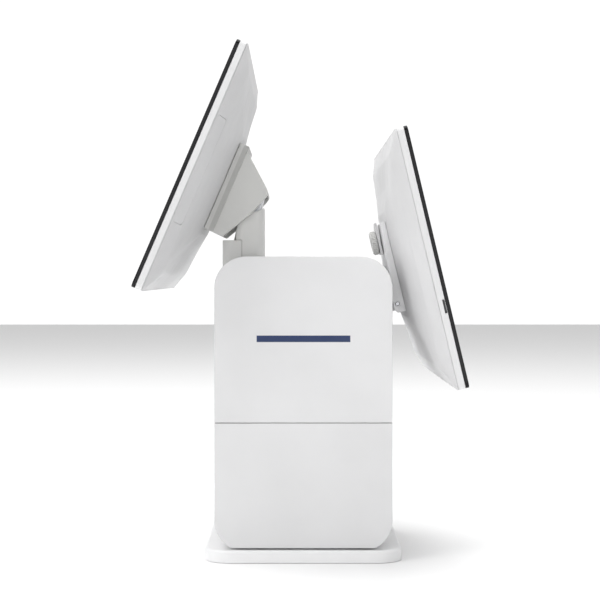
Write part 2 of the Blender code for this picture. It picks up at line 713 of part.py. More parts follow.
def release_key_corners(margin):
    """The door's release key with no margin, or its opening, which runs right through the cover."""
    width, height = RELEASE_KEY_SIZE
    through = 0.003 if margin else 0
    side = width / 2 + margin
    rise = height / 2 + margin
    low = (-HALF_DEPTH - KEY_STAND - through, RELEASE_KEY_ACROSS - side, KEY_HEIGHT - rise)
    high = (-HALF_DEPTH + COVER_WALL + through, RELEASE_KEY_ACROSS + side, KEY_HEIGHT + rise)
    return low, high


def feed_key_centre():
    return (FEED_KEY_ACROSS, KEY_HEIGHT)


def build_front_keys(looks, release_frame, feed_frame):
    """Both keys stand through the cover and are held by a wider lip behind it."""
    lip = -HALF_DEPTH + COVER_WALL
    lip_thick = 0.0015
    lip_reach = 0.002
    low, high = release_key_corners(0)
    cap = block(low, (lip + 0.0010, high[1], high[2]))
    release = add_piece("door_release_button", cap, looks["grey"], release_frame)
    lip_low = (lip + GAP, low[1] - lip_reach, low[2] - lip_reach)
    lip_high = (lip + GAP + lip_thick, high[1] + lip_reach, high[2] + lip_reach)
    join(release, block(lip_low, lip_high), release_frame)
    centre = feed_key_centre()
    cap = rod(centre, FEED_KEY_RADIUS, "yz", -HALF_DEPTH - FEED_STAND, lip + 0.0010, 20)
    feed = add_piece("paper_feed_button", cap, looks["grey"], feed_frame)
    flange = rod(centre, FEED_KEY_RADIUS + lip_reach, "yz", lip + GAP, lip + GAP + lip_thick, 20)
    join(feed, flange, feed_frame)


def build_rear_covers(root, looks):
    foot = SEAM_HEIGHT + SEAM / 2
    wall = block((HALF_DEPTH - COVER_WALL, -COVER_HALF, foot), (HALF_DEPTH, COVER_HALF, BELT_TOP - SEAM / 2))
    upper = add_piece("rear_upper_cover", wall, looks["white"], root)
    for row in range(VENT_ROWS):
        height = SEAM_HEIGHT + VENT_FIRST + VENT_STEP * row
        low = (HALF_DEPTH - 0.01, -VENT_HALF, height)
        cut(upper, block(low, (HALF_DEPTH + 0.01, VENT_HALF, height + VENT_HEIGHT)), root)

    top = SEAM_HEIGHT - SEAM / 2
    inner_wall = HALF_DEPTH - COVER_WALL
    outline = [(HALF_DEPTH, top)] + foot_arc(BODY_ROUND, 1)
    outline += foot_arc(BODY_ROUND - COVER_WALL, 1)[::-1] + [(inner_wall, top)]
    shell = prism(outline, "xz", -COVER_HALF, COVER_HALF)
    lower = add_piece("rear_lower_cover", shell, looks["white"], root)
    sockets = [port[1:4] for port in PORTS] + [DC_INLET[:3]]
    for centre, width, height in sockets:
        low = (HALF_DEPTH - 0.01, centre - width / 2 - PORT_GAP, PORT_FLOOR - PORT_GAP)
        high = (HALF_DEPTH + 0.01, centre + width / 2 + PORT_GAP, PORT_FLOOR + height + PORT_GAP)
        cut(lower, block(low, high), root)


def build_sockets(root, looks):
    face = HALF_DEPTH - PORT_FACE
    board_top = PORT_FLOOR - GAP
    reach = CHASSIS_HALF - CHASSIS_SHEET - 0.0125
    rear = face - 0.006
    board = block((rear - IO_BOARD_DEPTH, -reach, board_top - BOARD_THICK), (rear, reach, board_top))
    add_piece("io_board", board, looks["board"], root)
    for name, centre, width, height, depth, hollows in PORTS:
        low = (face - depth, centre - width / 2, PORT_FLOOR)
        high = (face, centre + width / 2, PORT_FLOOR + height)
        shell = add_piece(name, block(low, high), looks["steel"], root)
        for start, end in hollows:
            hollow_low = (face - depth * PORT_SHARE, centre + start[0], PORT_FLOOR + start[1])
            cut(shell, block(hollow_low, (face + 0.01, centre + end[0], PORT_FLOOR + end[1])), root)
    centre, width, height, depth = DC_INLET
    low = (face - depth, centre - width / 2, PORT_FLOOR)
    high = (face, centre + width / 2, PORT_FLOOR + height)
    inlet = add_piece("dc_inlet", block(low, high), looks["dark"], root)
    middle = (centre, PORT_FLOOR + height / 2)
    cut(inlet, tube(middle, DC_BORE, DC_PIN, "yz", face - depth * PORT_SHARE, face + 0.01, 20), root)


# ---- chassis and neck ----
def build_chassis(root, looks):
    wall_top = CHASSIS_TOP - PLATE_THICK - GAP
    for name, side in (("left", 1), ("right", -1)):
        inner, outer = spread(side, CHASSIS_HALF - CHASSIS_SHEET, CHASSIS_HALF)
        wall = block((CHASSIS_FRONT, inner, BASE_TOP + GAP), (CHASSIS_REAR, outer, wall_top))
        add_piece(f"chassis_wall_{name}", wall, looks["steel"], root)
    low = (-HALF_DEPTH + 0.0073, -CHASSIS_HALF, CHASSIS_TOP - PLATE_THICK)
    add_piece("chassis_top", block(low, (CHASSIS_REAR, CHASSIS_HALF, CHASSIS_TOP)), looks["steel"], root)
    reach = CHASSIS_HALF - CHASSIS_SHEET - GAP
    low = (-HALF_DEPTH + PLATEN_IN, -reach, SHELF_TOP - CHASSIS_SHEET)
    add_piece("printer_shelf", block(low, (CHASSIS_REAR, reach, SHELF_TOP)), looks["steel"], root)


def build_neck_column(root, looks, axis, front, rear):
    half = NECK_WIDTH / 2
    outer = rounded_rectangle((front, -half), (rear, half), NECK_ROUND, 4)
    inner_half = half - NECK_WALL
    inner = rounded_rectangle(
        (front + NECK_WALL, -inner_half), (rear - NECK_WALL, inner_half), NECK_ROUND - NECK_WALL, 4)
    column = add_piece("neck_column", ring(outer, inner, "xy", NECK_FOOT, axis[1]), looks["grey"], root)
    # the top is cut away round the hinge's knuckles, the front leans back above the step
    clearance = KNUCKLE_RADIUS + 0.005
    shoulder = axis[1] - 0.0250
    lean = NECK_SLANT * (shoulder - NECK_STEP_TOP)
    above = [(front - 0.01, NECK_STEP_TOP), (front, NECK_STEP_TOP), (front + lean, shoulder)]
    above += arc(axis, clearance, 215, 322, 8)
    above += [(rear + 0.01, axis[1] - 0.0080), (rear + 0.01, axis[1] + 0.01), (front - 0.01, axis[1] + 0.01)]
    cut(column, prism(above, "xz", -half - 0.01, half + 0.01), root)
    # rebates for the side walls of the lower front cover
    for side in (-1, 1):
        inner, outer = spread(side, half - NECK_COVER_WALL - GAP, half + 0.01)
        high = (front + NECK_ROUND + GAP, outer, NECK_STEP_TOP + GAP)
        cut(column, block((front - 0.01, inner, NECK_FOOT - 0.01), high), root)


def build_neck_cover(root, looks, front):
    """Lower front cover: a shell that wraps the column's front corners and is open to the rear."""
    half = NECK_WIDTH / 2
    wall = NECK_COVER_WALL
    face = front - NECK_STEP
    end = front + NECK_ROUND
    outer = rounded_rectangle((face, -half), (end + NECK_ROUND, half), NECK_ROUND, 4)
    cover = add_piece("neck_front_cover", prism(outer, "xy", NECK_FOOT, NECK_STEP_TOP), looks["grey"], root)
    inner = rounded_rectangle((face + wall, -half + wall), (end + 0.02, half - wall), NECK_ROUND - wall, 4)
    cut(cover, prism(inner, "xy", NECK_FOOT - 0.01, NECK_STEP_TOP - wall), root)
    below = NECK_FOOT - 0.01
    above = NECK_STEP_TOP + 0.01
    cut(cover, block((front - GAP, -half + wall, below), (end + 0.02, half - wall, above)), root)
    cut(cover, block((end, -half - 0.01, below), (end + 0.02, half + 0.01, above)), root)


def build_hinge(root, looks, axis):
    """Post inside the column, block on its top, and the shaft that the display tilts on."""
    post_middle = axis[0] - 0.0011
    low = (post_middle - POST_DEPTH / 2, -POST_WIDTH / 2)
    high = (post_middle + POST_DEPTH / 2, POST_WIDTH / 2)
    inner_low = (low[0] + POST_WALL, low[1] + POST_WALL)
    inner_high = (high[0] - POST_WALL, high[1] - POST_WALL)
    post_top = axis[1] - KNUCKLE_RADIUS - 0.0090
    post = ring(rounded_rectangle(low, high, 0.003, 2), rounded_rectangle(inner_low, inner_high, 0.001, 2),
                "xy", NECK_FOOT, post_top)
    add_piece("neck_post", post, looks["steel"], root)

    stem = [(low[0], post_top + GAP), (high[0], post_top + GAP)] + arc(axis, KNUCKLE_RADIUS, 0, 180, 14)
    hinge = add_piece("hinge_block", prism(stem, "xz", -KNUCKLE_HALF, KNUCKLE_HALF), looks["steel"], root)
    cut(hinge, rod(axis, SHAFT_RADIUS + GAP, "xz", -KNUCKLE_HALF - 0.002, KNUCKLE_HALF + 0.002), root)
    add_piece("hinge_shaft", rod(axis, SHAFT_RADIUS, "xz", -SHAFT_HALF, SHAFT_HALF), looks["steel"], root)


def build_rear_bracket(root, looks, axis):
    """Lugs on the body's rear that carry the customer display's hinge pin."""
    back = HALF_DEPTH + GAP
    half = LUG_SPACING + LUG_THICK / 2 + 0.002
    low = (back, -half, axis[1] - LUG_PLATE_FOOT)
    plate = block(low, (back + PLATE_THICK, half, axis[1] + LUG_PLATE_TOP))
    bracket = add_piece("rear_bracket", plate, looks["steel"], root)
    lug = [(back + 0.001, axis[1] - LUG_RADIUS)] + arc(axis, LUG_RADIUS, -90, 90, 8)
    lug += [(back + 0.001, axis[1] + LUG_RADIUS)]
    for side in (-1, 1):
        middle = side * LUG_SPACING
        join(bracket, prism(lug, "xz", middle - LUG_THICK / 2, middle + LUG_THICK / 2), root)
    cut(bracket, rod(axis, PIN_RADIUS + GAP, "xz", -half - 0.01, half + 0.01, 16), root)


# ---- receipt printer ----
def gear_outline(centre, teeth, phase):
    """Straight-flanked teeth; the phase is the angle of one tooth's middle, in radians."""
    pitch = 2 * math.pi / teeth
    radius = GEAR_MODULE * teeth / 2
    root_radius = radius - 1.15 * GEAR_MODULE
    tip_radius = radius + 0.85 * GEAR_MODULE
    points = []
    for tooth in range(teeth):
        middle = phase + tooth * pitch
        flanks = ((-0.29, root_radius), (-0.12, tip_radius), (0.12, tip_radius), (0.29, root_radius))
        for share, reach in flanks:
            angle = middle + share * pitch
            points.append((centre[0] + reach * math.cos(angle), centre[1] + reach * math.sin(angle)))
    return points


def bore_outline(centre, radius, teeth, phase):
    points = []
    for step in range(4 * teeth):
        angle = phase + (step - 1.5) * math.pi / (2 * teeth)
        points.append((centre[0] + radius * math.cos(angle), centre[1] + radius * math.sin(angle)))
    return points


def next_gear(centre, phase, teeth, other_teeth, direction):
    """Centre and phase of the gear that meshes with the first one in a direction."""
    angle = math.radians(direction)
    reach = GEAR_MODULE * (teeth + other_teeth) / 2 + GEAR_BACKLASH
    other = (centre[0] + reach * math.cos(angle), centre[1] + reach * math.sin(angle))
    share = (angle - phase) / (2 * math.pi / teeth)
    return other, angle + math.pi + (share - 0.5) * 2 * math.pi / other_teeth


def gear_train():
    idler = next_gear(PLATEN_CENTRE, 0.0, PLATEN_TEETH, IDLER_TEETH, IDLER_DIRECTION)
    pinion = next_gear(idler[0], idler[1], IDLER_TEETH, PINION_TEETH, PINION_DIRECTION)
    return idler, pinion


def gear(centre, teeth, phase, bore, low):
    outline = gear_outline(centre, teeth, phase)
    if bore == 0:
        return prism(outline, "xz", low, low + GEAR_WIDTH)
    return ring(outline, bore_outline(centre, bore, teeth, phase), "xz", low, low + GEAR_WIDTH)


def build_printer_housing(root, looks, idler, pinion):
    """Trough for the roll between two cheeks that stand on the shelf."""
    inside = ROLL_RADIUS + TROUGH_GAP
    outside = inside + TROUGH_WALL
    outline = arc(ROLL_CENTRE, outside, 180, 360, 16) + arc(ROLL_CENTRE, inside, 360, 180, 16)
    overlap = CHEEK_IN + CHEEK_THICK / 2
    housing = add_piece("printer_housing", prism(outline, "xz", -overlap, overlap), looks["dark"], root)
    cheek_rear = ROLL_CENTRE[0] + outside + 0.001
    cheek_top = PLATEN_CENTRE[1] + 0.020
    for side in (-1, 1):
        inner, outer = spread(side, CHEEK_IN, CHEEK_IN + CHEEK_THICK)
        cheek = block((PLATEN_CENTRE[0], inner, SHELF_TOP + GAP), (cheek_rear, outer, cheek_top))
        join(housing, cheek, root)
    join(housing, rod(idler, IDLER_PIN, "xz", GEAR_LOW - 0.001, CHEEK_IN + 0.0010, 16), root)
    bore = rod(pinion, MOTOR_BORE, "xz", CHEEK_IN - 0.002, CHEEK_IN + CHEEK_THICK + 0.002, 16)
    cut(housing, bore, root)


def build_print_head(root, looks):
    face = PLATEN_CENTRE[0] + PLATEN_RADIUS + GAP
    height = PLATEN_CENTRE[1]
    profile = [
        (face, height - 0.005), (face + 0.002, height - 0.009), (face + 0.0052, height - 0.009),
        (face + 0.0052, height + 0.012), (face + 0.002, height + 0.012), (face, height + 0.006),
    ]
    head = add_piece("print_head", prism(profile, "xz", -PLATEN_HALF - 0.001, PLATEN_HALF + 0.001),
                     looks["steel"], root)
    bar = block((face, -CHEEK_IN + GAP, height + 0.0105), (face + 0.012, CHEEK_IN - GAP, height + 0.0140))
    join(head, bar, root)


def build_printer(root, looks, door, platen, idler_frame, pinion_frame, roll, idler, pinion):
    build_printer_housing(root, looks, idler[0], pinion[0])
    build_print_head(root, looks)
    paper = tube(ROLL_CENTRE, ROLL_RADIUS, ROLL_CORE, "xz", -ROLL_WIDTH / 2, ROLL_WIDTH / 2, 40)
    add_piece("paper_roll", paper, looks["paper"], roll)

    panel = block((-HALF_DEPTH, -DOOR_HALF, DOOR_FOOT), (-HALF_DEPTH + DOOR_THICK, DOOR_HALF, DOOR_TOP))
    lid = add_piece("printer_door", panel, looks["white"], door)
    axis = door_axis()
    for side in (-1, 1):
        inner, outer = spread(side, ARM_IN, ARM_OUT)
        low = (-HALF_DEPTH + DOOR_THICK - 0.001, inner, PLATEN_CENTRE[1] - 0.009)
        high = (PLATEN_CENTRE[0] + 0.0048, outer, PLATEN_CENTRE[1] + 0.0052)
        join(lid, block(low, high), door)
        inner, outer = spread(side, DOOR_HALF - 0.001, DOOR_HALF + STUB_LENGTH)
        join(lid, rod(axis, DOOR_STUB, "xz", inner, outer, 12), door)
    cut(lid, rod(PLATEN_CENTRE, PLATEN_SHAFT + GAP, "xz", -ARM_OUT - 0.002, ARM_OUT + 0.002, 16), door)

    rubber = tube(PLATEN_CENTRE, PLATEN_RADIUS, PLATEN_SHAFT + GAP, "xz", -PLATEN_HALF, PLATEN_HALF)
    add_piece("platen_roller", rubber, looks["rubber"], platen)
    shaft = rod(PLATEN_CENTRE, PLATEN_SHAFT, "xz", -ARM_OUT - 0.0005, GEAR_LOW + GEAR_WIDTH, 16)
    add_piece("platen_shaft", shaft, looks["steel"], platen)
    wheel = gear(PLATEN_CENTRE, PLATEN_TEETH, 0.0, PLATEN_SHAFT + GAP, GEAR_LOW)
    add_piece("platen_gear", wheel, looks["gear"], platen)
    wheel = gear(idler[0], IDLER_TEETH, idler[1], IDLER_PIN + GAP, GEAR_LOW)
    add_piece("idler_gear", wheel, looks["gear"], idler_frame)
    drive = add_piece("motor_pinion", gear(pinion[0], PINION_TEETH, pinion[1], 0, GEAR_LOW), looks["gear"],
                      pinion_frame)
    motor_low = CHEEK_IN + CHEEK_THICK + GAP
    motor_shaft = rod(pinion[0], MOTOR_BORE - GAP, "xz", GEAR_LOW + 0.001, motor_low + MOTOR_LENGTH * 0.7, 12)
    join(drive, motor_shaft, pinion_frame)
    motor = tube(pinion[0], MOTOR_RADIUS, MOTOR_BORE, "xz", motor_low, motor_low + MOTOR_LENGTH, 24)
    add_piece("feed_motor", motor, looks["steel"], root)


# ---- computer ----
def build_computer(root, looks):
    wall = CHASSIS_HALF - CHASSIS_SHEET - GAP
    back = wall - BOARD_STAND
    front = back - BOARD_THICK
    low = (BOARD_LOW[0], front, BOARD_LOW[1])
    board = add_piece("motherboard", block(low, (BOARD_HIGH[0], back, BOARD_HIGH[1])), looks["board"], root)
    for x in (BOARD_LOW[0] + BOARD_SCREW_IN, BOARD_HIGH[0] - BOARD_SCREW_IN):
        for z in (BOARD_LOW[1] + BOARD_SCREW_IN, BOARD_HIGH[1] - BOARD_SCREW_IN):
            join(board, rod((x, z), SPACER_RADIUS, "xz", front + 0.0005, wall, 12), root)
    # heat sink: a plate on the board with upright fins, drawn as one comb seen from above
    foot = front - GAP
    valley = foot - SINK_PLATE
    tip = foot - SINK_HEIGHT
    comb = [(SINK_LOW[0], foot), (SINK_HIGH[0], foot)]
    for fin in range(int((SINK_HIGH[0] - SINK_LOW[0] - FIN_THICK) / FIN_PITCH) + 1):
        x = SINK_HIGH[0] - fin * FIN_PITCH
        comb += [(x, valley), (x, tip), (x - FIN_THICK, tip), (x - FIN_THICK, valley)]
    comb = comb[:2] + comb[3:-1] + [(SINK_LOW[0], comb[-1][1])]
    add_piece("heat_sink", prism(comb, "xy", SINK_LOW[1], SINK_HIGH[1]), looks["aluminium"], root)


def machine_shift():
    """Moves the machine so that its outer box is centred on X = 0."""
    low = display_point(main_place(), 0, SCREEN_HEIGHT).x
    high = display_point(customer_place(), 0, SCREEN_HEIGHT).x
    return -(low + high) / 2


def main():
    clear_scene()
    looks = {
        "white": paint("white_plastic", (0.82, 0.82, 0.83), 0.42),
        "grey": paint("grey_plastic", (0.52, 0.52, 0.51), 0.50),
        "glass": paint("black_glass", (0.015, 0.015, 0.018), 0.08),
        "lcd": paint("lcd_module", (0.05, 0.05, 0.06), 0.35),
        "dark": paint("dark_plastic", (0.06, 0.06, 0.065), 0.45),
        "steel": paint("steel", (0.62, 0.63, 0.65), 0.32, 1.0),
        "aluminium": paint("aluminium", (0.75, 0.76, 0.78), 0.30, 1.0),
        "rubber": paint("black_rubber", (0.03, 0.03, 0.03), 0.80),
        "board": paint("circuit_board", (0.03, 0.22, 0.09), 0.45),
        "gear": paint("nylon_gear", (0.80, 0.79, 0.74), 0.50),
        "paper": paint("paper", (0.90, 0.89, 0.86), 0.85),
    }
    root = add_frame("terminal", None, Matrix.Translation((machine_shift(), 0, 0)))

    main_turn = main_place()
    main_axis = display_point(main_turn, *MAIN_AXIS)
    main_frame = add_frame("main_tilt", root, Matrix.Translation(main_axis) @ main_turn.to_3x3().to_4x4())
    power_frame = add_frame("power_key_slide", main_frame, main_turn)
    customer_turn = customer_place()
    customer_axis = display_point(customer_turn, *CUSTOMER_AXIS)
    customer_frame = add_frame(
        "customer_tilt", root, Matrix.Translation(customer_axis) @ customer_turn.to_3x3().to_4x4())
    key_frame = add_frame("side_key_slide", customer_frame, customer_turn)
    knob_frame = add_frame(
        "knob_turn", customer_frame, customer_turn @ Matrix.Translation((FLANGE_DEPTH, 0, -KNOB_DOWN)))

    idler, pinion = gear_train()
    hinge_point = door_axis()
    door = add_frame("door_swing", root, Matrix.Translation((hinge_point[0], 0, hinge_point[1])))
    platen = add_frame("platen_spin", door, Matrix.Translation((PLATEN_CENTRE[0], 0, PLATEN_CENTRE[1])))
    idler_frame = add_frame("idler_spin", root, Matrix.Translation((idler[0][0], 0, idler[0][1])))
    pinion_frame = add_frame("pinion_spin", root, Matrix.Translation((pinion[0][0], 0, pinion[0][1])))
    roll = add_frame("roll_spin", root, Matrix.Translation((ROLL_CENTRE[0], 0, ROLL_CENTRE[1])))
    release_middle = (-HALF_DEPTH, RELEASE_KEY_ACROSS, KEY_HEIGHT)
    release = add_frame("release_slide", root, Matrix.Translation(release_middle))
    feed = add_frame("feed_slide", root, Matrix.Translation((-HALF_DEPTH, *feed_key_centre())))

    build_base(root, looks)
    build_side_panels(root, looks)
    neck_rear = main_axis.x + NECK_BEHIND
    neck_front = neck_rear - NECK_DEPTH
    build_top_cover(root, looks, neck_front, neck_rear)
    build_front_covers(root, looks)
    build_front_keys(looks, release, feed)
    build_rear_covers(root, looks)
    build_sockets(root, looks)
    build_chassis(root, looks)
    tilt_axis = (main_axis.x, main_axis.z)
    build_neck_column(root, looks, tilt_axis, neck_front, neck_rear)
    build_neck_cover(root, looks, neck_front)
    build_hinge(root, looks, tilt_axis)
    build_rear_bracket(root, looks, (customer_axis.x, customer_axis.z))
    build_printer(root, looks, door, platen, idler_frame, pinion_frame, roll, idler, pinion)
    build_computer(root, looks)

    power_key = build_main_display(main_frame, main_turn, looks)
    build_power_key(power_frame, main_turn, looks, power_key)
    side_key = build_customer_display(customer_frame, customer_turn, looks)
    build_side_key(key_frame, customer_turn, looks, side_key)
    build_thumb_knob(knob_frame, customer_turn, looks)


main()
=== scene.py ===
import json
import math

import bmesh
import bpy
from mathutils import Matrix, Vector


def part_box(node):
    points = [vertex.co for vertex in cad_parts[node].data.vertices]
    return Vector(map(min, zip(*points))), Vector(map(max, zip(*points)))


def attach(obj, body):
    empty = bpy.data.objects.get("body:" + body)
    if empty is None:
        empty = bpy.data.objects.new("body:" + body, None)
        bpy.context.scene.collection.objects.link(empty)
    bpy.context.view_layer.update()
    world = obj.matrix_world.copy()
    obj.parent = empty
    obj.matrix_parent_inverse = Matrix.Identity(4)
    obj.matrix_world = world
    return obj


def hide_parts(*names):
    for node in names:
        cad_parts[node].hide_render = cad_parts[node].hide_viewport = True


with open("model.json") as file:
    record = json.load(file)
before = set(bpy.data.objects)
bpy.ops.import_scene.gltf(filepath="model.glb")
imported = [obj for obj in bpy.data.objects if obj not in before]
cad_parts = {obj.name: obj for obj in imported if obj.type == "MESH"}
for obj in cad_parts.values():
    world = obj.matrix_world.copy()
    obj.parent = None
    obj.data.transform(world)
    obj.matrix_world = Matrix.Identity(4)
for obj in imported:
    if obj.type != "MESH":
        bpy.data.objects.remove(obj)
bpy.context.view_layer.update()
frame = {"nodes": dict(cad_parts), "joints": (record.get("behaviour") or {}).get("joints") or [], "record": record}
scene = bpy.context.scene
bodies = frame["record"]["behaviour"]["bodies"]
nodeBody = {node: body for body, members in bodies.items() for node in members}
nodeSlot = {part["node"]: part["material_slot"] for part in frame["record"]["subparts"]}
joints = {joint["name"]: joint for joint in frame["joints"]}
fineSteps = 14          # segments in a quarter of a rounded corner
print("frame loaded:", len(nodeBody), "nodes")


camera = {
    "height": 0.2717, "distance": 1.577, "aside": -0.0046,     # metres, from the world origin
    "lens": 93.8, "sensor": 36.0, "shift": (0.0083, -0.0417),
}
studio = {
    # the room's brightness: at its middle, and what each direction adds
    "room": 0.56, "roomTilt": (-0.10, 0.50, 0.06),
    "lamps": (      # place, aimed at, size, watts
        ((-0.3, 0.0, 3.0), (0, 0, 0.0), 3.4, 95.0),
        ((-2.0, -1.6, 1.6), (0, 0, 0.25), 1.2, 14.0),
        ((0.2, -3.2, 0.9), (0, 0, 0.25), 2.0, 25.0),
    ),
    "floorSize": 14.0, "floorColor": (0.93, 0.93, 0.93), "floorRoughness": 0.9,
}


def makeCamera():
    data = bpy.data.cameras.new("viewCamera")
    data.lens = camera["lens"]
    data.sensor_width = camera["sensor"]
    data.shift_x, data.shift_y = camera["shift"]
    data.clip_end = 50
    eye = bpy.data.objects.new("viewCamera", data)
    eye.location = (camera["aside"], -camera["distance"], camera["height"])
    eye.rotation_euler = (math.radians(90), 0, 0)
    scene.collection.objects.link(eye)
    scene.camera = eye


def makeStudio():
    world = bpy.data.worlds.new("studioWorld")
    world.use_nodes = True
    tree = world.node_tree
    coords = tree.nodes.new("ShaderNodeTexCoord")
    tilt = tree.nodes.new("ShaderNodeVectorMath")
    tilt.operation = "DOT_PRODUCT"
    tree.links.new(coords.outputs["Generated"], tilt.inputs[0])
    tilt.inputs[1].default_value = studio["roomTilt"]
    level = tree.nodes.new("ShaderNodeMath")
    level.inputs[1].default_value = studio["room"]
    tree.links.new(tilt.outputs["Value"], level.inputs[0])
    back = tree.nodes["Background"]
    back.inputs["Color"].default_value = (1, 1, 1, 1)
    tree.links.new(level.outputs["Value"], back.inputs["Strength"])
    scene.world = world
    for index, (place, target, size, watts) in enumerate(studio["lamps"]):
        data = bpy.data.lights.new(f"softLamp{index}", "AREA")
        data.size = size
        data.energy = watts
        lamp = bpy.data.objects.new(f"softLamp{index}", data)
        lamp.location = place
        lamp.rotation_euler = (Vector(target) - Vector(place)).to_track_quat("-Z", "Y").to_euler()
        scene.collection.objects.link(lamp)
    bpy.ops.mesh.primitive_plane_add(size=studio["floorSize"])
    floor = bpy.context.object
    floor.name = "studioFloor"
    paint = bpy.data.materials.new("paleFloor")
    paint.use_nodes = True
    shader = paint.node_tree.nodes["Principled BSDF"]
    shader.inputs["Base Color"].default_value = (*studio["floorColor"], 1)
    shader.inputs["Roughness"].default_value = studio["floorRoughness"]
    floor.data.materials.append(paint)
    scene.view_settings.view_transform = "Standard"


makeCamera()
makeStudio()
print("camera and studio ready")


def newMaterial(name, roughness, metallic=0.0, sockets=None):
    material = bpy.data.materials.new(name)
    material.use_nodes = True
    tree = material.node_tree
    shader = tree.nodes["Principled BSDF"]
    shader.inputs["Roughness"].default_value = roughness
    shader.inputs["Metallic"].default_value = metallic
    for socket, value in (sockets or {}).items():
        shader.inputs[socket].default_value = value
    return material, tree, shader


def objectCoords(tree, stretch=(1, 1, 1), turn=(0, 0, 0), shift=(0, 0, 0)):
    coords = tree.nodes.new("ShaderNodeTexCoord")
    mapping = tree.nodes.new("ShaderNodeMapping")
    mapping.inputs["Scale"].default_value = stretch
    mapping.inputs["Rotation"].default_value = turn
    mapping.inputs["Location"].default_value = shift
    tree.links.new(coords.outputs["Object"], mapping.inputs["Vector"])
    return mapping.outputs["Vector"]


def addNoise(tree, scale, detail=4.0, rough=0.5, stretch=(1, 1, 1)):
    noise = tree.nodes.new("ShaderNodeTexNoise")
    noise.inputs["Scale"].default_value = scale
    noise.inputs["Detail"].default_value = detail
    noise.inputs["Roughness"].default_value = rough
    tree.links.new(objectCoords(tree, stretch), noise.inputs["Vector"])
    return noise.outputs["Fac"]


def addRamp(tree, value, low, high, start=0.35, end=0.65):
    ramp = tree.nodes.new("ShaderNodeValToRGB")
    ramp.color_ramp.elements[0].position = start
    ramp.color_ramp.elements[1].position = end
    ramp.color_ramp.elements[0].color = (*low, 1)
    ramp.color_ramp.elements[1].color = (*high, 1)
    tree.links.new(value, ramp.inputs["Fac"])
    return ramp.outputs["Color"]


def addRange(tree, value, low, high):
    span = tree.nodes.new("ShaderNodeMapRange")
    span.inputs["From Min"].default_value = 0.3
    span.inputs["From Max"].default_value = 0.7
    span.inputs["To Min"].default_value = low
    span.inputs["To Max"].default_value = high
    tree.links.new(value, span.inputs["Value"])
    return span.outputs["Result"]


def addBump(tree, shader, value, distance, strength=1.0):
    bump = tree.nodes.new("ShaderNodeBump")
    bump.inputs["Distance"].default_value = distance
    bump.inputs["Strength"].default_value = strength
    tree.links.new(value, bump.inputs["Height"])
    tree.links.new(bump.outputs["Normal"], shader.inputs["Normal"])


def addMath(tree, operation, first, second):
    step = tree.nodes.new("ShaderNodeMath")
    step.operation = operation
    for socket, value in zip(step.inputs, (first, second)):
        if isinstance(value, (int, float)):
            socket.default_value = value
        else:
            tree.links.new(value, socket)
    return step.outputs[0]


def shadeOf(color, factor):
    return tuple(min(1.0, channel * factor) for channel in color)


# finishes, one for each material slot
def mouldedPlastic(name, color, roughness, grain=0.00002, grainScale=2400, spread=0.025):
    # faint cloudy tone, uneven sheen and a fine spark-eroded grain
    material, tree, shader = newMaterial(name, roughness)
    cloud = addNoise(tree, 14, 3)
    tone = addRamp(tree, cloud, shadeOf(color, 1 - spread), shadeOf(color, 1 + spread * 0.6))
    tree.links.new(tone, shader.inputs["Base Color"])
    sheen = addRange(tree, addNoise(tree, 60, 2), roughness - 0.05, roughness + 0.06)
    tree.links.new(sheen, shader.inputs["Roughness"])
    addBump(tree, shader, addNoise(tree, grainScale, 2, 0.6), grain)
    return material


nameBar = {
    "low": (-0.0410, 0.2082), "high": (0.0478, 0.2146), "blue": (0.002, 0.020, 0.095), "blur": 0.0002,
}


def markedPlastic(name, color, roughness):
    # the shell's plastic with one plain printed bar, in X and Z
    material = mouldedPlastic(name, color, roughness)
    tree = material.node_tree
    shader = tree.nodes["Principled BSDF"]
    coords = tree.nodes.new("ShaderNodeTexCoord")
    parts = tree.nodes.new("ShaderNodeSeparateXYZ")
    tree.links.new(coords.outputs["Object"], parts.inputs[0])
    edges = []
    for axis, low, high in (("X", nameBar["low"][0], nameBar["high"][0]),
                            ("Z", nameBar["low"][1], nameBar["high"][1])):
        offset = addMath(tree, "SUBTRACT", parts.outputs[axis], (low + high) / 2)
        away = addMath(tree, "ABSOLUTE", offset, 0)
        edges.append(addMath(tree, "SUBTRACT", (high - low) / 2, away))
    inside = addMath(tree, "DIVIDE", addMath(tree, "MINIMUM", *edges), nameBar["blur"])
    mask = addMath(tree, "MINIMUM", addMath(tree, "MAXIMUM", inside, 0), 1)
    mix = tree.nodes.new("ShaderNodeMix")
    mix.data_type = "RGBA"
    tree.links.new(mask, mix.inputs["Factor"])
    tree.links.new(shader.inputs["Base Color"].links[0].from_socket, mix.inputs["A"])
    mix.inputs["B"].default_value = (*nameBar["blue"], 1)
    tree.links.new(mix.outputs["Result"], shader.inputs["Base Color"])
    return material


def darkGlass(name, low, high, polish):
    material, tree, shader = newMaterial(name, polish, 0.0, {"IOR": 1.45, "Specular IOR Level": 0.22})
    tree.links.new(addRamp(tree, addNoise(tree, 9, 3), low, high), shader.inputs["Base Color"])
    smears = addRange(tree, addNoise(tree, 25, 5, 0.6), polish - 0.02, polish + 0.04)
    tree.links.new(smears, shader.inputs["Roughness"])
    return material


def brushedSteel(name, color, roughness):
    material, tree, shader = newMaterial(name, roughness, 1.0)
    lines = addNoise(tree, 220, 3, 0.6, (1, 14, 1))
    tone = addRamp(tree, lines, shadeOf(color, 0.88), shadeOf(color, 1.08))
    tree.links.new(tone, shader.inputs["Base Color"])
    tree.links.new(addRange(tree, lines, roughness - 0.08, roughness + 0.12), shader.inputs["Roughness"])
    addBump(tree, shader, lines, 0.00002)
    return material


